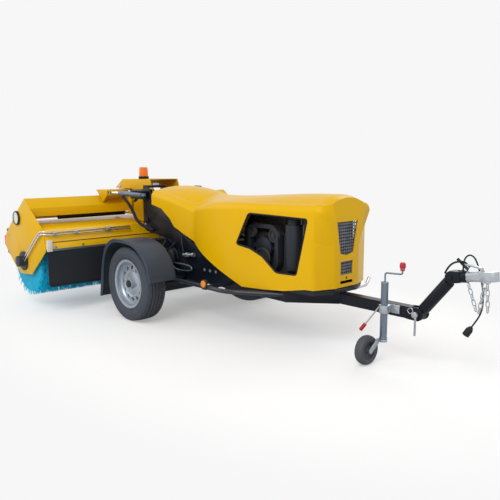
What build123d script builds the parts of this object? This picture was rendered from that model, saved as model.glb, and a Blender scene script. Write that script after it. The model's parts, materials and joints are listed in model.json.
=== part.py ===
from build123d import *
import math
import os

# Towed road sweeper with a transverse roller brush, in millimetres.
# +X points to the towing eye, +Y to the left of travel, +Z up, Z = 0 is the ground.
# The origin is below the middle of the machine; the places below are measured from the axle.
os.makedirs("parts", exist_ok=True)

# Road wheels and axle
axle_x = -635
track = 1344
tyre_radius = 318
tyre_width = 195
stub_radius = 20
rim_holes = 12

# Frame and drawbar
rail_outer = 295
rail_width = 50
rail_bottom = 330
rail_height = 80
beam = 80
beam_start = 960
low_joint = (2317, 372)
ear_gap = 27
ear_plate = 13

# Height adjustable link and coupling head
link_size = 76
high_joint = (2538, 647)
head_tilt = 8
socket_x = 250
socket_radius = 25.5
lead_start = (2598, 0, 698)

# Jockey wheel
jockey_x = 2105
jockey_y = -92
jockey_top = 549
jockey_bottom = 195
jockey_wheel = (2033, -177, 100)

# Tower, lift arm and slewing carriage
tower_inner = 295
lift_pivot = (-360, 800)
arm_outer = 165
slew_x = -1026
ram_eye = (-865, -400, 1035)
ram_foot = (-342, -355, 1035)
brace = (-20, 470)
lift_foot = (-78, 534)
lift_eye = (-620, 800)

# Hood and brush
hood_half = 1180
hood_plate = 6
brush_axis = (-1090, 430)
brush_radius = 325
brush_half = 1150
core_radius = 78
gap_axis = (-1026, 826)

# Bonnet: front hinge, wall, and sections as (x, half width, shoulder height, crown height)
bonnet_hinge = (1698, 458)
bonnet_wall = 8
hump_sections = ((-250, 332, 1080, 1112), (40, 328, 1035, 1103), (330, 300, 965, 1056))
body_sections = ((330, 300, 965, 1056), (560, 362, 1010, 1056), (1150, 346, 1040, 1092),
                 (1650, 286, 1056, 1112))
nose_section = (1716, 250, 1046, 1094)
nose_foot = 132
nose_waist = 760


# Places in the machine: side views are drawn as (x from axle, z), plan views as (x from axle, y)
def spot(x, y, z):
    return Vector(axle_x + x, y, z)


def side(y):
    return Plane(origin=spot(0, y, 0), x_dir=(1, 0, 0), z_dir=(0, -1, 0))


def plan(z):
    return Plane(origin=spot(0, 0, z), x_dir=(1, 0, 0), z_dir=(0, 0, 1))


def cross(x):
    return Plane(origin=spot(x, 0, 0), x_dir=(0, 1, 0), z_dir=(1, 0, 0))


def save(solid, name):
    solid.label = name
    export_step(solid, f"parts/{name}.step")


sides = (("right", -1), ("left", 1))

# Tyre profile as (radius, distance from the wheel's middle)
with BuildPart() as tyre:
    with BuildSketch(Plane.XY):
        with BuildLine():
            Polyline((290, -94), (260, -tyre_width / 2), (224, -91), (209, -78), (193.5, -73),
                     (193.5, 73), (209, 78), (224, 91), (260, tyre_width / 2), (290, 94))
            ThreePointArc((290, 94), (307, 88), (314, 74))
            ThreePointArc((314, 74), (tyre_radius, 0), (314, -74))
            ThreePointArc((314, -74), (307, -88), (290, -94))
        make_face()
    revolve(axis=Axis.Y)

# Rim with well, pressed disc, hub and cap as (radius, distance outward from the middle)
with BuildPart() as rim:
    with BuildSketch(Plane.XY):
        with BuildLine():
            Polyline((207, 84), (207, 78), (193, 74), (190, 40), (176, 26), (176, -30), (190, -44),
                     (193, -74), (207, -78), (207, -84), (186, -80), (183, -48), (168, -34),
                     (168, 20), (150, 26), (120, 34), (112, 26), (90, 26), (86, 30), (60, 30),
                     (56, -8), (stub_radius + 0.5, -8), (stub_radius + 0.5, 44), (28, 44), (28, 70),
                     (40, 70), (44, 38), (86, 38), (95, 34), (110, 34), (120, 42), (150, 34),
                     (172, 28), (184, 46), (186, 80), (207, 84))
        make_face()
    revolve(axis=Axis.Y)
    with BuildSketch(Plane.XZ.offset(-60)):
        with PolarLocations(136, rim_holes):
            Circle(16)
    extrude(amount=60, mode=Mode.SUBTRACT)
    with BuildSketch(Plane.XZ.offset(-70)):
        Circle(30)
    extrude(amount=12)

for name, s in sides:
    wheel_place = Location(spot(0, s * track / 2, tyre_radius), (0, 0, 0 if s > 0 else 180))
    save(wheel_place * tyre.part, f"tyre_{name}")
    save(wheel_place * rim.part, f"rim_{name}")

# Axle: a rubber torsion tube with trailing arms, backplates and stub shafts
with BuildPart() as axle:
    with BuildSketch(side(-540)):
        with Locations((150, 288)):
            RectangleRounded(84, 84, 12)
    extrude(amount=-1080)
    for name, s in sides:
        with BuildSketch(side(s * 540)):
            with BuildLine():
                Polyline((195, 245), (195, 325), (0, 368), (-40, 350), (-40, 286), (0, 268), (195, 245))
            make_face()
        extrude(amount=-s * 30)
        with BuildSketch(side(s * 570)):
            with Locations((0, tyre_radius)):
                Circle(115)
        extrude(amount=-s * 12)
        with BuildSketch(side(s * 582)):
            with Locations((0, tyre_radius)):
                Circle(stub_radius)
        extrude(amount=-s * 130)
save(axle.part, "axle")

# Frame rails that close in a V on the drawbar, and the cross members between them
for name, s in sides:
    with BuildPart() as rail:
        with BuildSketch(cross(-260)):
            with Locations((s * (rail_outer - rail_width / 2), rail_bottom + rail_height / 2)):
                RectangleRounded(rail_width, rail_height, 8)
        extrude(amount=1650)
        with BuildSketch(plan(rail_bottom)):
            with BuildLine():
                Polyline((1390, s * 295), (1390, s * 245), (1620, s * 40), (1690, s * 40), (1390, s * 295))
            make_face()
        extrude(amount=rail_height)
    save(rail.part, f"rail_{name}")

cross_members = ((-230, 60), (330, 60), (880, 80), (1330, 60))
with BuildPart() as members:
    for x, depth in cross_members:
        with BuildSketch(cross(x)):
            with Locations((0, rail_bottom + rail_height / 2)):
                Rectangle(2 * (rail_outer - rail_width), rail_height - 16)
                if x > beam_start:
                    Rectangle(beam, rail_height, mode=Mode.SUBTRACT)
        extrude(amount=depth)
save(members.part, "cross_members")

# Drawbar tube with two ears and the bolt of the lower joint
with BuildPart() as drawbar:
    with BuildSketch(cross(beam_start)):
        with Locations((0, rail_bottom + beam / 2)):
            RectangleRounded(beam, beam, 9)
            Rectangle(beam - 12, beam - 12, mode=Mode.SUBTRACT)
    extrude(amount=2262 - beam_start)
    with BuildSketch(cross(2250)):
        with Locations((0, rail_bottom + beam / 2)):
            Rectangle(beam - 12, beam - 12)
    extrude(amount=12)
    for y in (-ear_gap - ear_plate, ear_gap):
        with BuildSketch(side(y)):
            with BuildLine():
                Polyline((2240, 410), (2240, 330), (2317, 328))
                ThreePointArc((2317, 328), (2361, 372), (2317, 416))
                Line((2317, 416), (2240, 410))
            make_face()
        extrude(amount=-ear_plate)
    with BuildSketch(side(52)):
        with Locations(low_joint):
            Circle(15)
    extrude(amount=104)
save(drawbar.part, "drawbar")

# T handle that locks the lower joint, hanging on the right side of the beam
with BuildPart() as lock_handle:
    with BuildSketch(side(-52)):
        with Locations(low_joint):
            Circle(20)
    extrude(amount=18)
    with BuildSketch(plan(236)):
        with Locations((2322, -62)):
            Circle(7)
    extrude(amount=130)
save(lock_handle.part, "lock_handle")

# Drawbar link with an eye at each end
link_dx = high_joint[0] - low_joint[0]
link_dz = high_joint[1] - low_joint[1]
link_length = math.hypot(link_dx, link_dz)
link_frame = Plane(origin=spot(low_joint[0], 0, low_joint[1]), x_dir=(link_dx, 0, link_dz),
                   z_dir=(0, -1, 0))
eye_half = ear_gap - 1
with BuildPart() as link:
    for x in (0, link_length):
        with BuildSketch(link_frame.offset(-eye_half)):
            with Locations((x, 0)):
                Circle(40)
    with BuildSketch(link_frame.offset(-eye_half)):
        with Locations((link_length / 2, 0)):
            Rectangle(link_length - 20, 50)
    extrude(amount=2 * eye_half)
    with BuildSketch(Plane(origin=link_frame.from_local_coords((46, 0, 0)), z_dir=link_frame.x_dir)):
        Circle(link_size / 2)
    extrude(amount=link_length - 92)
    with BuildSketch(link_frame.offset(-eye_half)):
        with Locations((0, 0), (link_length, 0)):
            Circle(15.5)
    extrude(amount=2 * eye_half, mode=Mode.SUBTRACT)
save(link.part, "drawbar_link")

# Coupling: a tube with ears on the upper joint, then a pressed body with its ball socket
tilt = math.radians(head_tilt)
head_axis = (math.cos(tilt), 0, math.sin(tilt))
head_up = (-math.sin(tilt), 0, math.cos(tilt))
head_origin = spot(high_joint[0], 0, high_joint[1])
head_side = Plane(origin=head_origin, x_dir=head_axis, z_dir=(0, -1, 0))
head_plan = Plane(origin=head_origin, x_dir=head_axis, z_dir=head_up)
head_cross = Plane(origin=head_origin, x_dir=(0, 1, 0), z_dir=head_axis)
with BuildPart() as head_tube:
    for y in (-ear_gap - ear_plate, ear_gap):
        with BuildSketch(head_side.offset(y)):
            with BuildLine():
                Polyline((0, 38), (60, 34), (60, -34), (0, -38))
                ThreePointArc((0, -38), (-38, 0), (0, 38))
            make_face()
        extrude(amount=ear_plate)
    with BuildSketch(head_side.offset(-50)):
        Circle(15)
    extrude(amount=100)
    with BuildSketch(head_cross.offset(50)):
        Circle(37)
    extrude(amount=44)
    with BuildSketch(plan(684)):
        with Locations(lead_start[:2]):
            Circle(9)
    extrude(amount=lead_start[2] - 684)
save(head_tube.part, "head_tube")

with BuildPart() as coupling:
    with BuildSketch(head_cross.offset(94)):
        RectangleRounded(66, 64, 26)
    with BuildSketch(head_cross.offset(176)):
        RectangleRounded(58, 58, 12)
    loft()
    with BuildSketch(head_plan.offset(-29)):
        with BuildLine():
            Polyline((socket_x, 37), (215, 33), (176, 29), (176, -29), (215, -33), (socket_x, -37))
            ThreePointArc((socket_x, -37), (socket_x + 37, 0), (socket_x, 37))
        make_face()
    extrude(amount=58)
    with BuildSketch(head_plan.offset(-29)):
        with Locations((socket_x, 0)):
            Circle(socket_radius)
    extrude(amount=44, mode=Mode.SUBTRACT)
    with BuildSketch(plan(645)):
        with Locations((2776, -40)):
            Rectangle(24, 20)
    extrude(amount=12)
save(coupling.part, "coupling")

with BuildPart() as coupling_lever:
    with BuildSketch(head_side.offset(-12)):
        with BuildLine():
            Polyline((196, 29), (190, 54), (102, 80), (84, 78), (84, 68), (98, 68), (180, 44),
                     (184, 29), (196, 29))
        make_face()
    extrude(amount=24)
save(coupling_lever.part, "coupling_lever")

# Safety chains: one oval link, then runs of it, each link turned a quarter about the run
chain_pitch = 34
chain_wire = 3.5
with BuildLine() as oval:
    Line((-9, 10), (9, 10))
    ThreePointArc((9, 10), (19, 0), (9, -10))
    Line((9, -10), (-9, -10))
    ThreePointArc((-9, -10), (-19, 0), (-9, 10))
with BuildPart() as chain_link:
    with BuildSketch(Plane(origin=(0, 10, 0), x_dir=(0, 1, 0), z_dir=(1, 0, 0))):
        RegularPolygon(chain_wire, 6)
    sweep(path=oval.line)

# Runs as (x, y, z of the start, x and z step of a link, links)
chain_runs = ((2652, -22, 608, 12, -32, 5), (2724, -22, 470, 5, 30.8, 6), (2776, -40, 622, 2, -33, 5))
with BuildPart() as chains:
    for x, y, z, dx, dz, count in chain_runs:
        for i in range(count):
            turned = (0, 1, 0) if i % 2 else (-dz, 0, dx)
            here = Plane(origin=spot(x + i * dx, y, z + i * dz), x_dir=(dx, 0, dz), z_dir=turned)
            add(here.location * chain_link.part)
save(chains.part, "safety_chains")

# Lead with its plug, hanging beside the coupling from a gland on the head tube
lead_radius = 5
lead_route = (lead_start, (2598, 0, 732), (2598, 14, 768), (2608, 48, 788), (2626, 80, 770),
              (2644, 88, 728), (2664, 82, 680), (2684, 70, 630), (2700, 58, 580), (2712, 46, 526),
              (2716, 34, 470), (2704, 24, 422), (2684, 16, 384), (2666, 10, 352))


def corner_radii(points):
    radii = []
    for before, here, after in zip(points, points[1:], points[2:]):
        first = here - before
        second = after - here
        turn = math.radians(first.get_angle(second))
        radii.append(0.45 * min(first.length, second.length) / math.tan(turn / 2))
    return radii


lead_points = [spot(*point) for point in lead_route]
lead_radii = corner_radii(lead_points)
print("lead radii", [round(radius) for radius in lead_radii])
with BuildLine() as lead_path:
    FilletPolyline(*lead_points, radius=lead_radii)
lead_wire = lead_path.wire()
with BuildPart() as lead:
    with BuildSketch(Plane(origin=lead_wire @ 0, z_dir=lead_wire % 0)):
        Circle(lead_radius)
    sweep(path=lead_wire)
print("lead length", round(lead_wire.length), "volume over section times length",
      round(lead.part.volume / (math.pi * lead_radius**2 * lead_wire.length), 4))
save(lead.part, "lead")

plug_down = Vector(lead_points[-1] - lead_points[-2]).normalized()
with BuildPart() as plug:
    with BuildSketch(Plane(origin=lead_points[-1], z_dir=plug_down)):
        Circle(11)
    with BuildSketch(Plane(origin=lead_points[-1] + plug_down * 22, z_dir=plug_down)):
        Circle(22)
    loft()
    with BuildSketch(Plane(origin=lead_points[-1] + plug_down * 22, z_dir=plug_down)):
        Circle(22)
    extrude(amount=42)
save(plug.part, "plug")

# Jockey wheel: clamp, outer tube and crank on the beam, leg, swivel fork and wheel below
with BuildPart() as jockey_clamp:
    with BuildSketch(side(-beam / 2)):
        with Locations((2128, 380)):
            RectangleRounded(132, 56, 6)
    extrude(amount=10)
    with BuildSketch(plan(354)):
        with Locations((jockey_x, jockey_y)):
            Circle(35)
        with Locations((jockey_x, -63)):
            Rectangle(50, 30)
        with Locations((jockey_x, jockey_y)):
            Circle(24, mode=Mode.SUBTRACT)
    extrude(amount=52)
    with BuildSketch(Plane(origin=spot(2072, -98, 392), z_dir=(-0.58, -0.1, -0.81))):
        Circle(5)
    extrude(amount=200)
    with BuildSketch(Plane(origin=spot(1972, -116, 253), z_dir=(-0.58, -0.1, -0.81))):
        Circle(11)
    extrude(amount=52)
save(jockey_clamp.part, "jockey_clamp")

with BuildPart() as jockey_tube:
    with BuildSketch(plan(jockey_bottom)):
        with Locations((jockey_x, jockey_y)):
            Circle(24)
            Circle(20.5, mode=Mode.SUBTRACT)
    extrude(amount=jockey_top - jockey_bottom)
    with BuildSketch(plan(jockey_top)):
        with Locations((jockey_x, jockey_y)):
            Circle(25)
    extrude(amount=14)
    with BuildLine() as crank_path:
        FilletPolyline(spot(jockey_x, jockey_y, 563), spot(jockey_x, jockey_y, 622),
                       spot(2235, jockey_y, 630), spot(2235, jockey_y, 662), radius=14)
    with BuildSketch(Plane(origin=crank_path.line @ 0, z_dir=crank_path.line % 0)):
        Circle(6)
    sweep(path=crank_path.line)
    with BuildSketch(plan(656)):
        with Locations((2235, jockey_y)):
            Circle(12)
    with BuildSketch(plan(676)):
        with Locations((2235, jockey_y)):
            Circle(18)
    with BuildSketch(plan(703)):
        with Locations((2235, jockey_y)):
            Circle(14)
    loft()
save(jockey_tube.part, "jockey_tube")

with BuildPart() as jockey_leg:
    with BuildSketch(plan(176)):
        with Locations((jockey_x, jockey_y)):
            Circle(20)
    extrude(amount=324)
    with BuildSketch(plan(176)):
        with Locations((jockey_x, jockey_y)):
            Circle(26)
    extrude(amount=14)
save(jockey_leg.part, "jockey_leg")

with BuildPart() as jockey_fork:
    with BuildSketch(plan(156)):
        with Locations((jockey_x, jockey_y)):
            Circle(27)
        with Locations((jockey_x - 19, jockey_y)):
            Rectangle(38, 40)
    extrude(amount=18)
    with BuildSketch(cross(2067)):
        with BuildLine():
            Polyline((jockey_y + 20, 156), (jockey_y + 20, 174), (jockey_y - 20, 174), (-192, 113))
            ThreePointArc((-192, 113), (-193, 88), (-168, 84))
            Line((-168, 84), (jockey_y + 20, 156))
        make_face()
    extrude(amount=8)
    with BuildSketch(cross(2003)):
        with Locations(jockey_wheel[1:]):
            Circle(8)
    extrude(amount=66)
save(jockey_fork.part, "jockey_fork")

# Profile as (radius, distance from the wheel's middle)
with BuildPart() as jockey_tyre:
    with BuildSketch(Plane.XY):
        with BuildLine():
            Polyline((8.5, -24), (22, -24), (22, -10), (58, -10), (62, -27), (90, -30))
            ThreePointArc((90, -30), (100, 0), (90, 30))
            Polyline((90, 30), (62, 27), (58, 10), (22, 10), (22, 24), (8.5, 24), (8.5, -24))
        make_face()
    revolve(axis=Axis.Y)
save(Location(spot(*jockey_wheel), (0, 0, 90)) * jockey_tyre.part, "jockey_wheel")

# Mudguards: a pressed arch with an outer lip and a fixing stay
arch = ((-380, 162), (-340, 420), (-280, 590), (-180, 672), (-50, 692), (105, 686), (230, 645),
        (350, 540), (404, 388))


def arch_face(inset):
    middle = Vector(0, 300)
    line = [Vector(*point) for point in arch]
    line = [point - (point - middle).normalized() * inset for point in line]
    with BuildSketch() as face:
        with BuildLine():
            Spline(*line)
            Polyline(line[-1], (line[-1].X, 100), (line[0].X, 100), line[0])
        make_face()
    return face.sketch


for name, s in sides:
    with BuildPart() as mudguard:
        with BuildSketch(side(s * 548)):
            add(arch_face(0))
            add(arch_face(5), mode=Mode.SUBTRACT)
        extrude(amount=-s * 252)
        with BuildSketch(side(s * 800)):
            add(arch_face(0))
            add(arch_face(24), mode=Mode.SUBTRACT)
        extrude(amount=s * 5)
        with BuildSketch(side(s * 540)):
            Rectangle(3000, 2 * arch[0][1])
        extrude(amount=-s * 270, mode=Mode.SUBTRACT)
        with BuildSketch(side(s * 540)):
            with Locations((500, 150)):
                Rectangle(400, 476)
        extrude(amount=-s * 270, mode=Mode.SUBTRACT)
    save(mudguard.part, f"mudguard_{name}")

with BuildPart() as stays:
    for name, s in sides:
        for x, inner, top in ((-130, tower_inner + 10, 681), (180, rail_outer, 652)):
            with BuildSketch(cross(x)):
                with BuildLine():
                    Polyline((s * inner, 350), (s * inner, 400), (s * 520, 400), (s * 520, top),
                             (s * 548, top), (s * 548, 370), (s * 540, 350), (s * inner, 350))
                make_face()
            extrude(amount=30)
save(stays.part, "mudguard_stays")

# Side guard rails: bent tubes from the mudguard stays round to the front of the frame
guard_y = 530
guard_z = 380
with BuildPart() as guards:
    for name, s in sides:
        with BuildLine() as guard_path:
            FilletPolyline(spot(210, s * guard_y, guard_z), spot(1000, s * guard_y, guard_z),
                           spot(1380, s * 270, guard_z), radius=300)
        with BuildSketch(Plane(origin=guard_path.line @ 0, z_dir=guard_path.line % 0)):
            Circle(17)
        sweep(path=guard_path.line)
        with BuildSketch(cross(760)):
            with Locations((s * 415, guard_z)):
                Rectangle(220, 24)
            with Locations((s * 552, guard_z + 24)):
                Rectangle(18, 76)
        extrude(amount=44)
    with BuildSketch(cross(1000)):
        with Locations((0, guard_z)):
            Rectangle(2 * rail_outer, 100)
    extrude(amount=600, mode=Mode.SUBTRACT)
save(guards.part, "guard_rails")

with BuildPart() as reflectors:
    for name, s in sides:
        with BuildSketch(side(s * 561)):
            with Locations((782, 410)):
                Circle(27)
        extrude(amount=-s * 10)
save(reflectors.part, "side_reflectors")

# Belly pan under the engine and the bumper tray under the front of the bonnet
with BuildPart() as belly_pan:
    with BuildSketch(side(235)):
        with BuildLine():
            Line((610, 330), (1130, 330))
            ThreePointArc((1130, 330), (870, 250), (610, 330))
        make_face()
    extrude(amount=470)
    with BuildSketch(side(229)):
        with BuildLine():
            Line((650, 330), (1090, 330))
            ThreePointArc((1090, 330), (870, 258), (650, 330))
        make_face()
    extrude(amount=458, mode=Mode.SUBTRACT)
save(belly_pan.part, "belly_pan")

with BuildPart() as bumper:
    with BuildSketch(plan(412)):
        with BuildLine():
            Polyline((1400, -292), (1640, -268), (1700, -140), (1700, 140), (1640, 268), (1400, 292),
                     (1400, -292))
        make_face()
    extrude(amount=34, taper=-6)
    with BuildSketch(plan(418)):
        with BuildLine():
            Polyline((1406, -286), (1636, -262), (1694, -134), (1694, 134), (1636, 262), (1406, 286),
                     (1406, -286))
        make_face()
    extrude(amount=40, taper=-6, mode=Mode.SUBTRACT)
    for y in (-118, 108):
        with BuildSketch(side(y)):
            with Locations((bonnet_hinge[0] - 4, 440)):
                Rectangle(20, 50)
        extrude(amount=-10)
    for y in (-118, 96):
        with BuildSketch(side(y)):
            with Locations(bonnet_hinge):
                Circle(5)
        extrude(amount=-22)
save(bumper.part, "front_bumper")

# Engine as one block, with what shows through the windows: fan cowl, air filter, radiator
with BuildPart() as engine:
    with BuildSketch(plan(410)):
        with Locations((1070, 0)):
            RectangleRounded(500, 380, 30)
    extrude(amount=400)
    with BuildSketch(plan(810)):
        with Locations((1040, 0)):
            RectangleRounded(360, 240, 30)
    extrude(amount=110)
save(engine.part, "engine_block")

with BuildPart() as fan_cowl:
    with BuildSketch(side(-190)):
        with Locations((1110, 700)):
            RectangleRounded(340, 360, 90)
            RectangleRounded(270, 290, 70, mode=Mode.SUBTRACT)
    extrude(amount=70)
    with BuildSketch(side(-190)):
        with Locations((1110, 700)):
            Circle(26)
            Rectangle(290, 30)
    extrude(amount=24)
    with BuildSketch(side(-214)):
        with Locations((1110, 700)):
            Circle(80)
    extrude(amount=30)
save(fan_cowl.part, "fan_cowl")

with BuildPart() as air_filter:
    with BuildSketch(plan(560)):
        with Locations((1390, -200)):
            Circle(68)
    extrude(amount=330)
    with BuildSketch(plan(890)):
        with Locations((1390, -200)):
            Circle(50)
    extrude(amount=40)
    with BuildSketch(cross(1320)):
        with Locations((-150, 640)):
            Rectangle(60, 60)
    extrude(amount=40)
save(air_filter.part, "air_filter")

with BuildPart() as radiator:
    with BuildSketch(cross(1560)):
        with Locations((0, 720)):
            Rectangle(380, 500)
    extrude(amount=60)
    for y in (-110, 80):
        with BuildSketch(plan(418)):
            with Locations((1585, y + 15)):
                Rectangle(40, 30)
        extrude(amount=64)
save(radiator.part, "radiator")

# Oil tank on the right and fuel tank on the left, standing on the rails
with BuildPart() as tanks:
    for name, s in sides:
        with BuildSketch(plan(rail_bottom + rail_height)):
            with Locations((215, s * 181)):
                RectangleRounded(360, 210, 30)
        extrude(amount=230)
        with BuildSketch(plan(rail_bottom + rail_height + 230)):
            with Locations((190, s * 180)):
                Circle(38)
        extrude(amount=26)
save(tanks.part, "side_tanks")

# Bent exhaust end low at the left front
with BuildLine() as exhaust_path:
    FilletPolyline(spot(1501, 203, 384), spot(1580, 296, 384), spot(1598, 398, 396),
                   spot(1604, 428, 452), radius=30)
with BuildPart() as exhaust:
    with BuildSketch(Plane(origin=exhaust_path.line @ 0, z_dir=exhaust_path.line % 0)):
        Circle(13)
    sweep(path=exhaust_path.line)
save(exhaust.part, "exhaust_end")

# Tower: two side plates that sweep down to the rails, a stiffener and the ram and pivot pins
with BuildSketch() as tower_face:
    with BuildLine():
        Polyline((-430, 1098), (-430, 725), (-370, 697), (-20, 655), (160, 560), (300, 430),
                 (360, 335), (860, 335), (960, 372), (730, 478), (485, 575), (270, 675), (90, 750),
                 (40, 800), (-80, 905), (-250, 935), (-300, 1000), (-330, 1098), (-430, 1098))
    make_face()
    with Locations(lift_pivot):
        Circle(20.5, mode=Mode.SUBTRACT)
    with BuildLine():
        Polyline((-130, 330), (-130, 500), (110, 500), (110, 410), (-130, 330))
    make_face()
    with BuildLine():
        Polyline((-130, 440), (-60, 660), (60, 620), (110, 440), (-130, 440))
    make_face()
for name, s in sides:
    with BuildPart() as tower_plate:
        with BuildSketch(side(s * tower_inner)):
            add(tower_face.sketch)
        extrude(amount=-s * 10)
    save(tower_plate.part, f"tower_plate_{name}")

with BuildPart() as tower_pins:
    with BuildSketch(side(315)):
        with Locations(lift_pivot):
            Circle(20)
    extrude(amount=630)
    with BuildSketch(side(tower_inner)):
        with Locations(brace):
            Circle(28)
    extrude(amount=2 * tower_inner)
    for y in (-48, 36):
        with BuildSketch(side(y)):
            with BuildLine():
                Polyline((40, 430), (40, 490), (-70, 560), (-105, 530), (-60, 430), (40, 430))
            make_face()
        extrude(amount=-12)
    with BuildSketch(side(54)):
        with Locations(lift_foot):
            Circle(14)
    extrude(amount=108)
save(tower_pins.part, "tower_pins")

# Lift arm: two plates on the tower pin with the slewing bearing at the rear end
with BuildSketch() as arm_face:
    with BuildLine():
        Polyline((-1014, 1156), (-1141, 1072), (-1141, 1066), (-822, 1066), (-816, 1058), (-816, 800),
                 (-780, 772), (-600, 752), (-430, 712), (-350, 735), (-296, 800), (-310, 860),
                 (-470, 1020), (-530, 1165), (-1014, 1156))
    make_face()
with BuildPart() as arm:
    for s in (-1, 1):
        with BuildSketch(side(s * arm_outer)):
            add(arm_face.sketch)
        extrude(amount=s * 10)
    with BuildSketch(side(arm_outer - 10)):
        with BuildLine():
            Polyline((-1014, 1156), (-1014, 1146), (-540, 1154), (-530, 1165), (-1014, 1156))
        make_face()
    extrude(amount=2 * arm_outer - 20)
    with BuildSketch(side(arm_outer - 10)):
        with Locations(lift_pivot):
            Circle(45)
    extrude(amount=2 * arm_outer - 20)
    with BuildSketch(side(arm_outer)):
        with Locations(lift_pivot):
            Circle(20.5)
    extrude(amount=2 * arm_outer, mode=Mode.SUBTRACT)
    with BuildSketch(cross(-780)):
        with Locations((0, 910)):
            Rectangle(2 * arm_outer - 20, 200)
    extrude(amount=12)
    with BuildSketch(plan(1066)):
        with Locations((-1000, 0)):
            Rectangle(260, 2 * arm_outer - 20)
    extrude(amount=14)
    with BuildSketch(plan(1066)):
        with Locations((slew_x, 0)):
            Circle(62)
    extrude(amount=78)
    with BuildSketch(plan(1066)):
        with Locations((slew_x, 0)):
            Circle(40.5)
    extrude(amount=78, mode=Mode.SUBTRACT)
    for y in (-40, 28):
        with BuildSketch(side(y)):
            with BuildLine():
                Polyline((-769, 830), (-769, 760), (-600, 752), (-585, 800), (-620, 835), (-769, 870),
                         (-769, 830))
            make_face()
        extrude(amount=-12)
    with BuildSketch(side(46)):
        with Locations(lift_eye):
            Circle(14)
    extrude(amount=92)
save(arm.part, "lift_arm")

# Black lug bolted to the right of the arm, reaching out behind the tower for the slewing ram
with BuildPart() as ram_lug:
    for z in (ram_foot[2] - 39, ram_foot[2] + 27):
        with BuildSketch(plan(z)):
            with BuildLine():
                Polyline((-600, -165), (-480, -165), (-480, -322), (-320, -326), (-308, -355),
                         (-325, -386), (-520, -386), (-600, -300), (-600, -165))
            make_face()
        extrude(amount=12)
    with BuildSketch(plan(ram_foot[2] - 39)):
        with Locations(ram_foot[:2]):
            Circle(11)
    extrude(amount=78)
    with BuildSketch(plan(ram_foot[2] - 27)):
        with Locations((-540, -172)):
            Rectangle(120, 14)
    extrude(amount=54)
save(ram_lug.part, "ram_lug")

# The beacon's base is cut to the slope of the arm's top
with BuildPart() as beacon_base:
    with BuildSketch(plan(1140)):
        with Locations((-880, 0)):
            Circle(52)
    extrude(amount=43)
    with BuildSketch(side(60)):
        with BuildLine():
            Polyline((-1014, 1156), (-530, 1165), (-530, 1100), (-1014, 1100), (-1014, 1156))
        make_face()
    extrude(amount=120, mode=Mode.SUBTRACT)
save(beacon_base.part, "beacon_base")

with BuildPart() as beacon:
    with BuildSketch(plan(1183)):
        with Locations((-880, 0)):
            Circle(46)
    with BuildSketch(plan(1276)):
        with Locations((-880, 0)):
            Circle(41)
    loft()
    fillet(beacon.faces().sort_by(Axis.Z)[-1].edges(), 12)
save(beacon.part, "beacon_lens")

# Hydraulic rams: slewing ram beside the arm, lift ram below it; barrels are bored for their rods.
# A barrel goes from its eye at start towards end, and a rod from its eye at end back towards start.
def ram_barrel(start, end, pin, length, outer, bore):
    along = Vector(end - start).normalized()
    upright = Vector(0, 0, 1) if abs(along.Z) < 0.1 else Vector(0, 1, 0)
    with BuildPart() as barrel:
        with BuildSketch(Plane(origin=start + along * 17, z_dir=along)):
            Circle(outer)
        extrude(amount=length)
        with BuildSketch(Plane(origin=start + along * 44, z_dir=along)):
            Circle(bore)
        extrude(amount=length, mode=Mode.SUBTRACT)
        with BuildSketch(Plane(origin=start + upright * 14, z_dir=upright * -1)):
            Circle(pin + 10)
            Circle(pin + 0.5, mode=Mode.SUBTRACT)
        extrude(amount=28)
    return barrel.part


def ram_rod(start, end, hole, length, radius):
    along = Vector(end - start).normalized()
    upright = Vector(0, 0, 1) if abs(along.Z) < 0.1 else Vector(0, 1, 0)
    with BuildPart() as rod:
        with BuildSketch(Plane(origin=end - along * (hole + 3.5), z_dir=along * -1)):
            Circle(radius)
        extrude(amount=length)
        with BuildSketch(Plane(origin=end + upright * 11, z_dir=upright * -1)):
            Circle(hole + 9.5)
            Circle(hole, mode=Mode.SUBTRACT)
        extrude(amount=22)
    return rod.part


foot = spot(*ram_foot)
eye = spot(*ram_eye)
save(ram_barrel(foot, eye, 11, 340, 25, 19), "slew_ram_barrel")
save(ram_rod(foot, eye, 11.5, 330, 12), "slew_ram_rod")
foot = spot(lift_foot[0], 0, lift_foot[1])
eye = spot(lift_eye[0], 0, lift_eye[1])
save(ram_barrel(foot, eye, 14, 350, 32, 25), "lift_ram_barrel")
save(ram_rod(foot, eye, 17, 360, 16), "lift_ram_rod")

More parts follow.
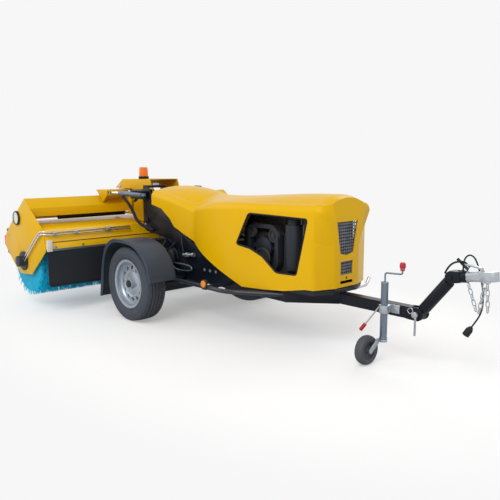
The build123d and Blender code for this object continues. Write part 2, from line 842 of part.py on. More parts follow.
# Slewing carriage: cheeks that hook round the hood beam, the slewing pin and the ram bracket
with BuildSketch() as cheek_face:
    with BuildLine():
        Polyline((-1178, 828), (-1178, 985), (-1090, 1060), (-962, 1060), (-866, 985), (-866, 828),
                 (-936, 828), (-936, 839), (-904, 839), (-904, 924), (-1026, 1012), (-1148, 924),
                 (-1148, 839), (-1116, 839), (-1116, 828), (-1178, 828))
    make_face()
with BuildPart() as carriage:
    for y in (-165, 150):
        with BuildSketch(side(y)):
            add(cheek_face.sketch)
        extrude(amount=-15)
    with BuildSketch(plan(1044)):
        with Locations((slew_x, 0)):
            Rectangle(126, 300)
    extrude(amount=16)
    with BuildSketch(plan(1060)):
        with Locations((slew_x, 0)):
            Circle(40)
    extrude(amount=82)
    for z, rear in ((ram_eye[2] + 13, -1030), (ram_eye[2] - 25, -925)):
        with BuildSketch(plan(z)):
            with BuildLine():
                Polyline((rear, -150), (-900, -150), (-840, -372), (-840, -450), (rear, -450),
                         (rear, -150))
            make_face()
        extrude(amount=12)
    with BuildSketch(side(-438)):
        with BuildLine():
            Polyline((-1030, 1060), (-840, 1060), (-840, 1010), (-916, 945), (-1030, 1060))
        make_face()
    extrude(amount=12)
    # The ram's pin is left out between the plates, where its eye drifts a little as it slews
    for z in (ram_eye[2] + 13, ram_eye[2] - 31):
        with BuildSketch(plan(z)):
            with Locations(ram_eye[:2]):
                Circle(15)
        extrude(amount=18)

    # Side shift barrel under the hood beam
    with BuildSketch(side(-150)):
        with Locations(gap_axis):
            Circle(28)
    extrude(amount=710)
    with BuildSketch(side(-170)):
        with Locations(gap_axis):
            Circle(21)
    extrude(amount=700, mode=Mode.SUBTRACT)
    with BuildSketch(side(-150)):
        with BuildLine():
            Polyline((-1178, 832), (-866, 832), (-866, 814), (-1178, 814), (-1178, 832))
        make_face()
    extrude(amount=15)
save(carriage.part, "carriage")

# Side shift rod, fixed to the right end plate
with BuildPart() as shift_rod:
    with BuildSketch(side(-400)):
        with Locations(gap_axis):
            Circle(12)
    extrude(amount=720)
    with BuildSketch(side(-1120)):
        with Locations(gap_axis):
            Circle(24)
    extrude(amount=54)
save(shift_rod.part, "shift_rod")

# Hood: folded beam, end plates, brush cover, rubber flap, lamps and the hydraulic motor
with BuildPart() as hood_beam:
    with BuildSketch(side(hood_half - hood_plate)):
        with BuildLine():
            Polyline((-1142, 845), (-1142, 921), (-1026, 1004), (-910, 921), (-910, 845), (-915, 845),
                     (-915, 918), (-1026, 998), (-1137, 918), (-1137, 845), (-1142, 845))
        make_face()
    extrude(amount=2 * (hood_half - hood_plate))
save(hood_beam.part, "hood_beam")

with BuildSketch() as end_face:
    with BuildLine():
        Polyline((-1026, 1004), (-651, 741), (-622, 564), (-936, 322), (-1169, 301), (-1324, 380),
                 (-1515, 527), (-1485, 651), (-1268, 826), (-1026, 1004))
    make_face()
    with Locations(brush_axis):
        Circle(31, mode=Mode.SUBTRACT)
with BuildPart() as end_plates:
    for name, s in sides:
        with BuildSketch(side(s * (hood_half - hood_plate))):
            add(end_face.sketch)
        extrude(amount=-s * hood_plate)
save(end_plates.part, "end_plates")

with BuildPart() as brush_cover:
    with BuildSketch(side(hood_half - hood_plate)):
        with BuildLine():
            Polyline((-626, 578), (-655, 738), (-1100, 784), (-1226, 784), (-1478, 640), (-1507, 500),
                     (-1502, 500), (-1473, 637), (-1224, 779), (-1100, 779), (-660, 733), (-631, 578),
                     (-626, 578))
        make_face()
    extrude(amount=2 * (hood_half - hood_plate))
    with BuildSketch(side(hood_half - hood_plate)):
        with BuildLine():
            Polyline((-640, 640), (-612, 640), (-612, 583), (-630, 583), (-640, 640))
        make_face()
    extrude(amount=2 * (hood_half - hood_plate))
    for s in (-1, 1):
        with BuildSketch(side(s * 1080)):
            with BuildLine():
                Polyline((-1505, 500), (-1476, 640), (-1515, 640), (-1515, 500), (-1505, 500))
            make_face()
        extrude(amount=-s * 80)
save(brush_cover.part, "brush_cover")

with BuildPart() as front_flap:
    with BuildSketch(cross(-622)):
        with Locations((0, 416)):
            RectangleRounded(2 * brush_half + 30, 334, 32)
    extrude(amount=8)
save(front_flap.part, "front_flap")

with BuildPart() as lamps:
    for s in (-1, 1):
        with BuildSketch(plan(530)):
            with Locations((-1538, s * 1120)):
                Rectangle(46, 100)
        extrude(amount=96)
        with BuildSketch(side(s * hood_half)):
            with Locations((-1196, 818)):
                Circle(56)
        extrude(amount=-s * 16)
        with BuildSketch(plan(565)):
            with Locations((-603, s * 1150)):
                Rectangle(18, 48)
        extrude(amount=100)
save(lamps.part, "hood_lamps")

with BuildPart() as brush_motor:
    with BuildSketch(side(-hood_half)):
        with Locations(brush_axis):
            Circle(88)
            Circle(31, mode=Mode.SUBTRACT)
    extrude(amount=14)
    with BuildSketch(side(-hood_half - 14)):
        with Locations(brush_axis):
            Circle(50)
    extrude(amount=50)
save(brush_motor.part, "brush_motor")

with BuildPart() as brush_bearing:
    with BuildSketch(side(hood_half)):
        with Locations(brush_axis):
            Circle(70)
            Circle(31, mode=Mode.SUBTRACT)
    extrude(amount=-16)
    with BuildSketch(side(hood_half + 16)):
        with Locations(brush_axis):
            Circle(40)
    extrude(amount=-10)
save(brush_bearing.part, "brush_bearing")

# Brush: core with shaft ends, and rows of bristles that widen outward; a row is drawn as
# (distance from the brush's axis, distance across)
bristle_rows = 24
bristle_row = ((core_radius - 3, -3), (brush_radius, -6), (brush_radius, 6), (core_radius - 3, 3),
               (core_radius - 3, -3))
with BuildPart() as brush:
    with BuildSketch(side(brush_half)):
        with Locations(brush_axis):
            Circle(core_radius)
            Circle(core_radius - 8, mode=Mode.SUBTRACT)
    extrude(amount=2 * brush_half)
    for y in (-brush_half, brush_half - 12):
        with BuildSketch(side(y)):
            with Locations(brush_axis):
                Circle(core_radius - 8)
        extrude(amount=-12)
    with BuildSketch(side(hood_half + 14)):
        with Locations(brush_axis):
            Circle(30)
    extrude(amount=hood_half + 14 - brush_half)
    with BuildSketch(side(-brush_half)):
        with Locations(brush_axis):
            Circle(30)
    extrude(amount=hood_half + 12 - brush_half)
    with BuildSketch(side(brush_half)):
        with BuildLine():
            for i in range(bristle_rows):
                turn = 360 * i / bristle_rows
                Polyline(*[Vector(radius, across).rotate(Axis.Z, turn) + Vector(*brush_axis)
                           for radius, across in bristle_row])
        make_face()
    extrude(amount=2 * brush_half)
save(brush.part, "brush_reel")


# Bonnet: a tail hump over the tower, a waist, the engine cover and the nose
def bonnet_section(x, half, shoulder, crown, inset):
    width = half - inset
    foot = (nose_foot if x > 1700 else half) - inset
    with BuildSketch(cross(x)) as section:
        with BuildLine():
            Polyline((-foot, 300), (-foot, nose_waist), (-width, shoulder - inset - 60))
            ThreePointArc((-width, shoulder - inset - 60), (-width + 20, shoulder - inset - 15),
                          (-width + 66, shoulder - inset))
            ThreePointArc((-width + 66, shoulder - inset), (0, crown - inset), (width - 66, shoulder - inset))
            ThreePointArc((width - 66, shoulder - inset), (width - 20, shoulder - inset - 15),
                          (width, shoulder - inset - 60))
            Polyline((width, shoulder - inset - 60), (foot, nose_waist), (foot, 300), (-foot, 300))
        make_face()
    return section.sketch


def bonnet_form(inset):
    with BuildPart() as form:
        for sections, ruled in ((hump_sections, False), (body_sections, False),
                                ((body_sections[-1], nose_section), True)):
            for x, half, shoulder, crown in sections:
                moved = x - inset * (x == nose_section[0]) - inset * (x == hump_sections[0][0])
                add(bonnet_section(moved, half, shoulder, crown, inset))
            loft(ruled=ruled)
    return form.part


with BuildPart() as bonnet:
    add(bonnet_form(0))
    add(bonnet_form(bonnet_wall), mode=Mode.SUBTRACT)
    with BuildSketch(side(600)):
        with BuildLine():
            Polyline((-400, 953), (-250, 953), (-100, 925), (22, 843), (80, 777), (270, 697), (485, 597),
                     (730, 500), (1000, 397), (1220, 404), (1390, 417), (1580, 452), (1800, 460),
                     (1800, 250), (-400, 250), (-400, 953))
        make_face()
    extrude(amount=1200, mode=Mode.SUBTRACT)
    with BuildSketch(side(600)) as window:
        with BuildLine():
            FilletPolyline((1066, 961), (1592, 949), (1500, 545), (1322, 543), (1194, 652),
                           (1080, 700), (943, 721), radius=20, close=True)
        make_face()
    extrude(amount=1200, mode=Mode.SUBTRACT)
    with BuildSketch(cross(1680)):
        with BuildLine():
            Polyline((-117, 925), (117, 925), (76, 702), (0, 682), (-76, 702), (-117, 925))
        make_face()
        with Locations((0, 594)):
            Rectangle(138, 98)
        with Locations((0, 520)):
            Circle(11)
        with Locations((0, 492)):
            Rectangle(140, 22)
    extrude(amount=80, mode=Mode.SUBTRACT)
    for y in (-106, 98):
        with BuildSketch(side(y)):
            with BuildLine():
                Polyline((1688, 458), (1688, 500), (1710, 530), (1710, 466), (1708, 458))
                ThreePointArc((1708, 458), (1698, 448), (1688, 458))
            make_face()
            with Locations(bonnet_hinge):
                Circle(5.5, mode=Mode.SUBTRACT)
        extrude(amount=-8)
save(bonnet.part, "bonnet")

with BuildPart() as panes:
    add(bonnet_form(bonnet_wall))
    add(bonnet_form(bonnet_wall + 4), mode=Mode.SUBTRACT)
    with BuildSketch(side(600)):
        add(window.sketch)
    extrude(amount=1200, mode=Mode.INTERSECT)
save(panes.part, "side_panes")

with BuildPart() as grille:
    with BuildSketch(cross(1704)):
        with BuildLine():
            Polyline((-128, 936), (128, 936), (86, 694), (0, 670), (-86, 694), (-128, 936))
        make_face()
        with Locations((0, 810)):
            with GridLocations(22, 22, 10, 11):
                Rectangle(14, 14, rotation=45, mode=Mode.SUBTRACT)
    extrude(amount=4)
    with BuildSketch(cross(1704)):
        with Locations((0, 594)):
            Rectangle(150, 110)
            with GridLocations(22, 22, 6, 4):
                Rectangle(14, 14, rotation=45, mode=Mode.SUBTRACT)
    extrude(amount=4)
save(grille.part, "grilles")
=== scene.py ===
import json
import math
import bmesh
import bpy
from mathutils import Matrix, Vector
from mathutils.bvhtree import BVHTree


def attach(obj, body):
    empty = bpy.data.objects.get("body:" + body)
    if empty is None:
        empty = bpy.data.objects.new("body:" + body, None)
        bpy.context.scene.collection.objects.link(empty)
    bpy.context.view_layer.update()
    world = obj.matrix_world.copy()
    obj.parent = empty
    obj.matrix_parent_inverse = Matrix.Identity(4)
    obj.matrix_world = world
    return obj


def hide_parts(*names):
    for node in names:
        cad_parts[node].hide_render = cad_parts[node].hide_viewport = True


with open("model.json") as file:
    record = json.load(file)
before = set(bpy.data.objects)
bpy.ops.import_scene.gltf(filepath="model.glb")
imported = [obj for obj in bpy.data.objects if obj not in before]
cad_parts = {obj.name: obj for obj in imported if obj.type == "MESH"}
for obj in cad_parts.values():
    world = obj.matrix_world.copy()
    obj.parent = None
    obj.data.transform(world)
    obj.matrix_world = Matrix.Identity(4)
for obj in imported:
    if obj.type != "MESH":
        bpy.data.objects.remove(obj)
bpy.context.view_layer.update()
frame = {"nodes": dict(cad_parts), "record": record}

scene = bpy.context.scene
scene.view_settings.view_transform = "Standard"
axleX = -0.635  # where the road wheels' axis stands in the frame, in metres
sides = (("right", -1), ("left", 1))


def spot(x, y, z):  # a place measured from the axle, in millimetres
    return Vector((axleX + x / 1000, y / 1000, z / 1000))


# Camera, fitted to the photograph
camera = {"place": (3.7368, -3.4001, 1.3677), "tilt": 81.361, "turn": 47.207, "lens": 43.68, "sensor": 36}


def makeCamera():
    data = bpy.data.cameras.new("camera")
    data.lens = camera["lens"]
    data.sensor_width = camera["sensor"]
    cam = bpy.data.objects.new("camera", data)
    cam.location = camera["place"]
    cam.rotation_euler = (math.radians(camera["tilt"]), 0, math.radians(camera["turn"]))
    scene.collection.objects.link(cam)
    scene.camera = cam


makeCamera()
print("camera placed")


# Wear in every finish: slow mottling, fine grain, and dust that thickens towards the ground. On the grille
# mesh the mottling is painted glints and shade.
surfaceWear = {"patch": 3.0, "grain": 300.0, "dust": 0.2, "dustHeight": 0.5, "patchDetail": 4,
               "grainDetail": 2}


def newGroup(name, inputs, outputs):
    group = bpy.data.node_groups.new(name, "ShaderNodeTree")
    for label, kind, value in inputs:
        socket = group.interface.new_socket(name=label, in_out="INPUT", socket_type=kind)
        socket.default_value = value
    for label, kind in outputs:
        group.interface.new_socket(name=label, in_out="OUTPUT", socket_type=kind)
    return group, group.nodes.new("NodeGroupInput"), group.nodes.new("NodeGroupOutput")


def makeWearGroup():
    group, start, end = newGroup(
        "surfaceWear",
        [("Patch Scale", "NodeSocketFloat", surfaceWear["patch"]),
         ("Grain Scale", "NodeSocketFloat", surfaceWear["grain"]),
         ("Dust", "NodeSocketFloat", surfaceWear["dust"]),
         ("Dust Height", "NodeSocketFloat", surfaceWear["dustHeight"])],
        [("Mottle", "NodeSocketFloat"), ("Grain", "NodeSocketFloat"), ("Dust Mask", "NodeSocketFloat")])
    nodes, links = group.nodes, group.links
    place = nodes.new("ShaderNodeTexCoord")
    patch = nodes.new("ShaderNodeTexNoise")
    patch.inputs["Detail"].default_value = surfaceWear["patchDetail"]
    grain = nodes.new("ShaderNodeTexNoise")
    grain.inputs["Detail"].default_value = surfaceWear["grainDetail"]
    split = nodes.new("ShaderNodeSeparateXYZ")
    low = nodes.new("ShaderNodeMapRange")
    low.inputs["To Min"].default_value = 1.0
    low.inputs["To Max"].default_value = 0.0
    blend = nodes.new("ShaderNodeMath")
    blend.operation = "MULTIPLY"
    amount = nodes.new("ShaderNodeMath")
    amount.operation = "MULTIPLY"
    amount.use_clamp = True
    links.new(place.outputs["Object"], patch.inputs["Vector"])
    links.new(place.outputs["Object"], grain.inputs["Vector"])
    links.new(start.outputs["Patch Scale"], patch.inputs["Scale"])
    links.new(start.outputs["Grain Scale"], grain.inputs["Scale"])
    links.new(place.outputs["Object"], split.inputs[0])
    links.new(split.outputs["Z"], low.inputs["Value"])
    links.new(start.outputs["Dust Height"], low.inputs["From Max"])
    links.new(low.outputs["Result"], blend.inputs[0])
    links.new(patch.outputs["Fac"], blend.inputs[1])
    links.new(blend.outputs[0], amount.inputs[0])
    links.new(start.outputs["Dust"], amount.inputs[1])
    links.new(patch.outputs["Fac"], end.inputs["Mottle"])
    links.new(grain.outputs["Fac"], end.inputs["Grain"])
    links.new(amount.outputs[0], end.inputs["Dust Mask"])
    return group


wearGroup = makeWearGroup()
finishBase = {"coatRough": 0.08, "dustTone": (0.30, 0.27, 0.23, 1), "glossier": 0.06, "duller": 0.10,
              "smoothest": 0.02, "reliefDepth": 0.001}


def makeFinish(name, base, rough, metal=0.0, coat=0.0, dust=0.25, patch=3.0, grain=300.0, bump=0.05,
               shade=0.8, alpha=1.0, specular=0.25):
    material = bpy.data.materials.new(name)
    material.use_nodes = True
    nodes, links = material.node_tree.nodes, material.node_tree.links
    shader = nodes["Principled BSDF"]
    shader.inputs["Metallic"].default_value = metal
    shader.inputs["Specular IOR Level"].default_value = specular
    shader.inputs["Coat Weight"].default_value = coat
    shader.inputs["Coat Roughness"].default_value = finishBase["coatRough"]
    shader.inputs["Alpha"].default_value = alpha
    wear = nodes.new("ShaderNodeGroup")
    wear.node_tree = wearGroup
    wear.inputs["Patch Scale"].default_value = patch
    wear.inputs["Grain Scale"].default_value = grain
    wear.inputs["Dust"].default_value = dust
    tone = nodes.new("ShaderNodeMix")
    tone.data_type = "RGBA"
    tone.inputs[6].default_value = (*[c * shade for c in base], 1)
    tone.inputs[7].default_value = (*base, 1)
    dusty = nodes.new("ShaderNodeMix")
    dusty.data_type = "RGBA"
    dusty.inputs[7].default_value = finishBase["dustTone"]
    polish = nodes.new("ShaderNodeMapRange")
    polish.inputs["To Min"].default_value = max(finishBase["smoothest"], rough - finishBase["glossier"])
    polish.inputs["To Max"].default_value = min(1.0, rough + finishBase["duller"])
    relief = nodes.new("ShaderNodeBump")
    relief.inputs["Strength"].default_value = bump
    relief.inputs["Distance"].default_value = finishBase["reliefDepth"]
    links.new(wear.outputs["Mottle"], tone.inputs[0])
    links.new(tone.outputs[2], dusty.inputs[6])
    links.new(wear.outputs["Dust Mask"], dusty.inputs[0])
    links.new(dusty.outputs[2], shader.inputs["Base Color"])
    links.new(wear.outputs["Mottle"], polish.inputs["Value"])
    links.new(polish.outputs["Result"], shader.inputs["Roughness"])
    links.new(wear.outputs["Grain"], relief.inputs["Height"])
    links.new(relief.outputs["Normal"], shader.inputs["Normal"])
    return material


# The looks: colour, roughness, and what differs from a plain painted finish
looks = {
    "yellowPaint": dict(base=(0.72, 0.41, 0.002), rough=0.34, coat=0.06, dust=0.02, shade=0.93,
                        specular=0.10),
    "yellowMoulding": dict(base=(0.76, 0.435, 0.002), rough=0.28, coat=0.08, dust=0.02, grain=160,
                           bump=0.02, shade=0.95, specular=0.10),
    # A lighter copy of the yellow paint for the brush cover: a painted highlight on its top strip, which
    # lies in the shade of the hood beam; the heavy coat is real gloss
    "glossPaintPaintedHighlight": dict(base=(0.86, 0.50, 0.004), rough=0.30, coat=0.6, dust=0.02, shade=0.95,
                       specular=0.10),
    "blackPaint": dict(base=(0.006, 0.009, 0.016), rough=0.30, coat=0.06, dust=0.03, specular=0.18),
    # The guard rails' black paint is lighter and bluer than the other black paint: a painted highlight along
    # the tubes; the coat is real gloss
    "satinTubePaintedHighlight": dict(base=(0.020, 0.028, 0.045), rough=0.22, coat=0.3, dust=0.03),
    "blackPlastic": dict(base=(0.022, 0.026, 0.034), rough=0.42, grain=900, bump=0.2, dust=0.05),
    # The mudguards' black plastic is lighter and bluer than the other black plastic: a painted reflection of
    # the sky on their tops
    "guardPlasticPaintedSheen": dict(base=(0.046, 0.060, 0.086), rough=0.38, grain=900, bump=0.2, dust=0.05, shade=0.7),
    # On the grille mesh the strong mottle, down to a tenth of the base colour, paints glints and shade in
    # place of the mesh's own reflections
    "grilleMeshPaintedGlints": dict(base=(0.24, 0.25, 0.30), rough=0.35, metal=0.6, patch=14, shade=0.10),
    "ramGrey": dict(base=(0.17, 0.21, 0.27), rough=0.30, metal=0.4, dust=0.03, patch=18),
    "tubeSteel": dict(base=(0.24, 0.30, 0.37), rough=0.34, metal=0.8, dust=0.03, patch=18),
    "solidTyre": dict(base=(0.085, 0.095, 0.115), rough=0.60, grain=400, bump=0.2, dust=0.08, shade=0.6),
    "zincPlate": dict(base=(0.50, 0.54, 0.58), rough=0.36, metal=0.9, dust=0.04, patch=18),
    "brightSteel": dict(base=(0.70, 0.71, 0.73), rough=0.14, metal=1.0, dust=0.03, bump=0.01),
    "rimSilver": dict(base=(0.42, 0.47, 0.54), rough=0.34, metal=0.6, coat=0.15, dust=0.10),
    "tyreRubber": dict(base=(0.060, 0.070, 0.090), rough=0.60, grain=700, bump=0.25, dust=0.1),
    "flapRubber": dict(base=(0.010, 0.013, 0.018), rough=0.55, grain=400, bump=0.2, dust=0.08),
    "engineCast": dict(base=(0.05, 0.05, 0.055), rough=0.6, metal=0.3, grain=500, bump=0.4),
    "smokedPane": dict(base=(0.003, 0.003, 0.006), rough=0.07, dust=0.0, alpha=0.93, bump=0.0,
                       specular=0.05),
    "amberLens": dict(base=(0.90, 0.20, 0.01), rough=0.12, coat=0.3, dust=0.03),
    "reflectorAmber": dict(base=(0.92, 0.28, 0.01), rough=0.18, grain=900, bump=0.3),
    "bristleBlue": dict(base=(0.015, 0.74, 1.0), rough=0.55, dust=0.0, patch=14, shade=0.8),
    "bristleRoot": dict(base=(0.015, 0.46, 0.72), rough=0.7, dust=0.0, patch=30, shade=0.6, grain=220,
                        bump=0.9),
    "gripRed": dict(base=(0.55, 0.02, 0.015), rough=0.4, coat=0.2),
}
finishes = {name: makeFinish(name, **look) for name, look in looks.items()}
hoodLamp = {"pale": (0.75, 0.73, 0.70), "rough": 0.15, "coat": 0.4, "amber": (0.85, 0.12, 0.005, 1),
            "amberBehind": -1505}


def makeLampFinish():  # amber at the rear end of the hood, pale everywhere else
    material = makeFinish("lampLens", hoodLamp["pale"], hoodLamp["rough"], coat=hoodLamp["coat"])
    nodes, links = material.node_tree.nodes, material.node_tree.links
    place = nodes.new("ShaderNodeTexCoord")
    split = nodes.new("ShaderNodeSeparateXYZ")
    rear = nodes.new("ShaderNodeMath")
    rear.operation = "LESS_THAN"
    rear.inputs[1].default_value = spot(hoodLamp["amberBehind"], 0, 0).x
    tint = nodes.new("ShaderNodeMix")
    tint.data_type = "RGBA"
    tint.inputs[7].default_value = hoodLamp["amber"]
    base = nodes["Principled BSDF"].inputs["Base Color"]
    links.new(place.outputs["Object"], split.inputs[0])
    links.new(split.outputs["X"], rear.inputs[0])
    links.new(rear.outputs[0], tint.inputs[0])
    links.new(base.links[0].from_socket, tint.inputs[6])
    links.new(tint.outputs[2], base)
    return material


finishes["lampLens"] = makeLampFinish()
print("finishes made")


# Mesh helpers
def newPiece(name, mesh, finish, body, smooth=40):
    piece = bpy.data.objects.new(name, mesh)
    scene.collection.objects.link(piece)
    mesh.materials.clear()
    mesh.materials.append(finishes[finish])
    for face in mesh.polygons:
        face.use_smooth = True
    mesh.set_sharp_from_angle(angle=math.radians(smooth))
    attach(piece, body)
    return piece


def bakeShape(holder):  # the evaluated shape as a plain mesh, and its holder gone
    shape = bpy.data.meshes.new_from_object(holder.evaluated_get(bpy.context.evaluated_depsgraph_get()))
    bpy.data.objects.remove(holder)
    return shape


def tubeMesh(name, points, radius, bent=False, closed=False, around=10, along=8):
    curve = bpy.data.curves.new(name, "CURVE")
    curve.dimensions = "3D"
    curve.bevel_depth = radius
    curve.bevel_resolution = max(1, around // 4 - 1)
    curve.use_fill_caps = not closed
    spline = curve.splines.new("NURBS" if bent else "POLY")
    spline.points.add(len(points) - 1)
    for point, place in zip(spline.points, points):
        point.co = (*place, 1)
    if bent:
        spline.order_u = 3
        spline.use_endpoint_u = True
        spline.resolution_u = along
    spline.use_cyclic_u = closed
    holder = bpy.data.objects.new(name, curve)
    scene.collection.objects.link(holder)
    return bakeShape(holder)


def spinMesh(profile, centre, axis, steps, weld=1e-6):
    # the profile is a closed line of (radius, length along the axis) in millimetres
    axis = Vector(axis).normalized()
    first = axis.orthogonal().normalized()
    second = axis.cross(first)
    build = bmesh.new()
    rings = []
    for step in range(steps):
        turn = 2 * math.pi * step / steps
        out = first * math.cos(turn) + second * math.sin(turn)
        rings.append([build.verts.new(centre + out * r / 1000 + axis * a / 1000) for r, a in profile])
    for step in range(steps):
        near, far = rings[step], rings[(step + 1) % steps]
        for i in range(len(profile)):
            j = (i + 1) % len(profile)
            build.faces.new((near[i], near[j], far[j], far[i]))
    bmesh.ops.remove_doubles(build, verts=build.verts, dist=weld)
    bmesh.ops.recalc_face_normals(build, faces=build.faces)
    mesh = bpy.data.meshes.new("spun")
    build.to_mesh(mesh)
    build.free()
    return mesh


# CAD nodes: each keeps its shape, with merged and smoothed faces and its edges softened by so many
# millimetres
softened = {
    "yellowPaint": {"lift_arm": 1.5, "carriage": 1.5, "hood_beam": 0.8, "end_plates": 1.2},
    "glossPaintPaintedHighlight": {"brush_cover": 0.8},
    "blackPaint": {"axle": 2, "rail_right": 2, "rail_left": 2, "cross_members": 2, "drawbar": 1.5,
                   "drawbar_link": 2.5, "tower_pins": 1, "ram_lug": 1.5, "beacon_base": 1,
                   "head_tube": 1.5, "lift_ram_barrel": 1, "mudguard_stays": 1,
                   "tower_plate_right": 1.5, "tower_plate_left": 1.5},
    "satinTubePaintedHighlight": {"guard_rails": 0.5},
    "ramGrey": {"slew_ram_barrel": 1},
    "zincPlate": {"jockey_clamp": 1, "jockey_fork": 1, "coupling": 2, "lock_handle": 1,
                  "coupling_lever": 2},
    "tubeSteel": {"jockey_tube": 0.5, "jockey_leg": 0.5},
    "brightSteel": {"slew_ram_rod": 0.5, "lift_ram_rod": 0.5, "shift_rod": 0.5, "exhaust_end": 0.5},
    "guardPlasticPaintedSheen": {"mudguard_right": 1.2, "mudguard_left": 1.2},
    "blackPlastic": {"belly_pan": 1.5, "front_bumper": 1.5, "fan_cowl": 3, "air_filter": 4,
                     "side_tanks": 8, "brush_motor": 2, "brush_bearing": 2},
    "grilleMeshPaintedGlints": {"grilles": 0.4},
    "rimSilver": {"rim_right": 0.8, "rim_left": 0.8},
    "flapRubber": {"front_flap": 1.5, "plug": 1.5},
    "solidTyre": {"jockey_wheel": 2},
    "engineCast": {"engine_block": 8, "radiator": 4},
    "amberLens": {"beacon_lens": 1},
    "reflectorAmber": {"side_reflectors": 2},
    "lampLens": {"hood_lamps": 3},
}
bodyOf = {node: body for body, nodes in frame["record"]["behaviour"]["bodies"].items() for node in nodes}
nodeEdge = {"weld": 2e-5, "flat": 0.6, "segments": 2, "angle": 32}


def mergedCopy(node, joinFlat):  # a CAD node's mesh with its doubles merged
    build = bmesh.new()
    build.from_mesh(frame["nodes"][node].data)
    bmesh.ops.remove_doubles(build, verts=build.verts, dist=nodeEdge["weld"])
    if joinFlat:
        bmesh.ops.dissolve_limit(build, angle_limit=math.radians(nodeEdge["flat"]), verts=build.verts,
                                 edges=build.edges)
    mesh = bpy.data.meshes.new(node)
    build.to_mesh(mesh)
    build.free()
    return mesh


def softenNode(node, finish, width):
    holder = bpy.data.objects.new(node, mergedCopy(node, True))
    scene.collection.objects.link(holder)
    edge = holder.modifiers.new("edge", "BEVEL")
    edge.width = width / 1000
    edge.segments = nodeEdge["segments"]
    edge.limit_method = "ANGLE"
    edge.angle_limit = math.radians(nodeEdge["angle"])
    piece = newPiece(node + "_finished", bakeShape(holder), finish, bodyOf[node])
    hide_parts(node)
    return piece


finished = {}
for finish, nodes in softened.items():
    for node, width in nodes.items():
        finished[node] = softenNode(node, finish, width)
for node, finish in (("safety_chains", "zincPlate"), ("side_panes", "smokedPane")):
    frame["nodes"][node].data.materials.clear()
    frame["nodes"][node].data.materials.append(finishes[finish])
shiftBarrel = {"x": -1026, "z": 826, "radius": 33, "start": -151}


def blackenBarrel(piece):  # the side shift barrel below the hood beam is black
    piece.data.materials.append(finishes["blackPaint"])
    axis = spot(shiftBarrel["x"], 0, shiftBarrel["z"])
    for face in piece.data.polygons:
        away = math.hypot(face.center.x - axis.x, face.center.z - axis.z)
        if away < shiftBarrel["radius"] / 1000 and face.center.y < shiftBarrel["start"] / 1000:
            face.material_index = 1


blackenBarrel(finished["carriage"])
print("CAD nodes finished")

# Lead beside the coupling, with its sizes in metres and its route in millimetres
lead = {"diameter": 0.010, "length": 0.60, "around": 3, "along": 12,
        "route": ((2598, 0, 698), (2598, 0, 732), (2598, 14, 768), (2608, 48, 788), (2626, 80, 770),
                  (2644, 88, 728), (2664, 82, 680), (2684, 70, 630), (2700, 58, 580), (2712, 46, 526),
                  (2716, 34, 470), (2704, 24, 422), (2684, 16, 384), (2666, 10, 352))}


def makeLead():
    curve = bpy.data.curves.new("lead_cable", "CURVE")
    curve.dimensions = "3D"
    curve.bevel_depth = lead["diameter"] / 2
    curve.bevel_resolution = lead["around"]
    spline = curve.splines.new("NURBS")
    spline.points.add(len(lead["route"]) - 1)
    for point, place in zip(spline.points, lead["route"]):
        point.co = (*spot(*place), 1)
    spline.order_u = 3
    spline.use_endpoint_u = True
    spline.resolution_u = lead["along"]
    cable = bpy.data.objects.new("lead_cable", curve)
    scene.collection.objects.link(cable)
    curve.materials.append(finishes["flapRubber"])
    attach(cable, "coupling")
    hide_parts("lead")


makeLead()
print("lead made")

# Bonnet moulding: the CAD shell with smooth faces and a rubber seal round each side window
bonnet = {"window": ((1066, 961), (1592, 949), (1500, 545), (1322, 543), (1194, 652), (1080, 700),
                     (943, 721)),
          "corner": 22, "cornerSteps": 4, "spacing": 20, "probe": 10, "probeFrom": 600, "sealIn": 3,
          "sealRadius": 7, "smooth": 24}


def roundedLoop(corners, radius):  # corners cut by short arcs, and points evenly between them
    path = []
    for i, corner in enumerate(corners):
        following = corners[(i + 1) % len(corners)]
        before = corner + (corners[i - 1] - corner).normalized() * radius
        after = corner + (following - corner).normalized() * radius
        for k in range(bonnet["cornerSteps"] + 1):
            t = k / bonnet["cornerSteps"]
            path.append(before * (1 - t) ** 2 + corner * 2 * t * (1 - t) + after * t ** 2)
        end = following + (corner - following).normalized() * radius
        steps = max(1, int((end - after).length / bonnet["spacing"]))
        path += [after.lerp(end, k / steps) for k in range(1, steps)]
    return path


def makeBonnet():
    mesh = mergedCopy("bonnet", False)
    piece = newPiece("bonnet_moulding", mesh, "yellowMoulding", "bonnet", smooth=bonnet["smooth"])
    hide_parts("bonnet")
    return piece


def makeSeals(shell):  # each seal follows the shell just outside its window
    surface = BVHTree.FromPolygons([v.co for v in shell.data.vertices],
                                   [list(f.vertices) for f in shell.data.polygons])
    corners = [Vector((x, 0, z)) for x, z in bonnet["window"]]
    middle = sum(corners, Vector()) / len(corners)
    for name, side in sides:
        path = []
        for edge in roundedLoop(corners, bonnet["corner"]):
            out = edge + (edge - middle).normalized() * bonnet["probe"]
            start = spot(out.x, side * bonnet["probeFrom"], out.z)
            hit = surface.ray_cast(start, Vector((0, -side, 0)))[0]
            if hit:
                place = spot(edge.x, 0, edge.z)
                place.y = hit.y - side * bonnet["sealIn"] / 1000
                path.append(place)
        tube = tubeMesh("seal", path, bonnet["sealRadius"] / 1000, closed=True)
        newPiece(f"window_seal_{name}", tube, "flapRubber", "bonnet")


makeSeals(makeBonnet())
print("bonnet made")

# Road tyres: ribs, grooves and cuts across the ribs, in millimetres
roadTyre = {"steps": 168, "radius": 318, "track": 672, "shoulder": (313.5, 76), "crownDrop": 4.0,
            "grooves": (-46, -16, 16, 46), "grooveDepth": 8, "grooveHalf": 4, "grooveSlope": 1.5,
            "sidewall": ((193.5, -73), (209, -78), (216, -84), (224, -91), (232, -92), (240, -95.5),
                         (260, -97.4), (276, -97), (282, -94), (290, -94.5), (302, -90), (310, -83)),
            "smooth": 30}
treadCut = {"pitch": 6, "shift": 2, "depth": 6, "fromRadius": 306, "within": 86, "edge": 90,
            "ribWidth": 31, "plainRib": 2}


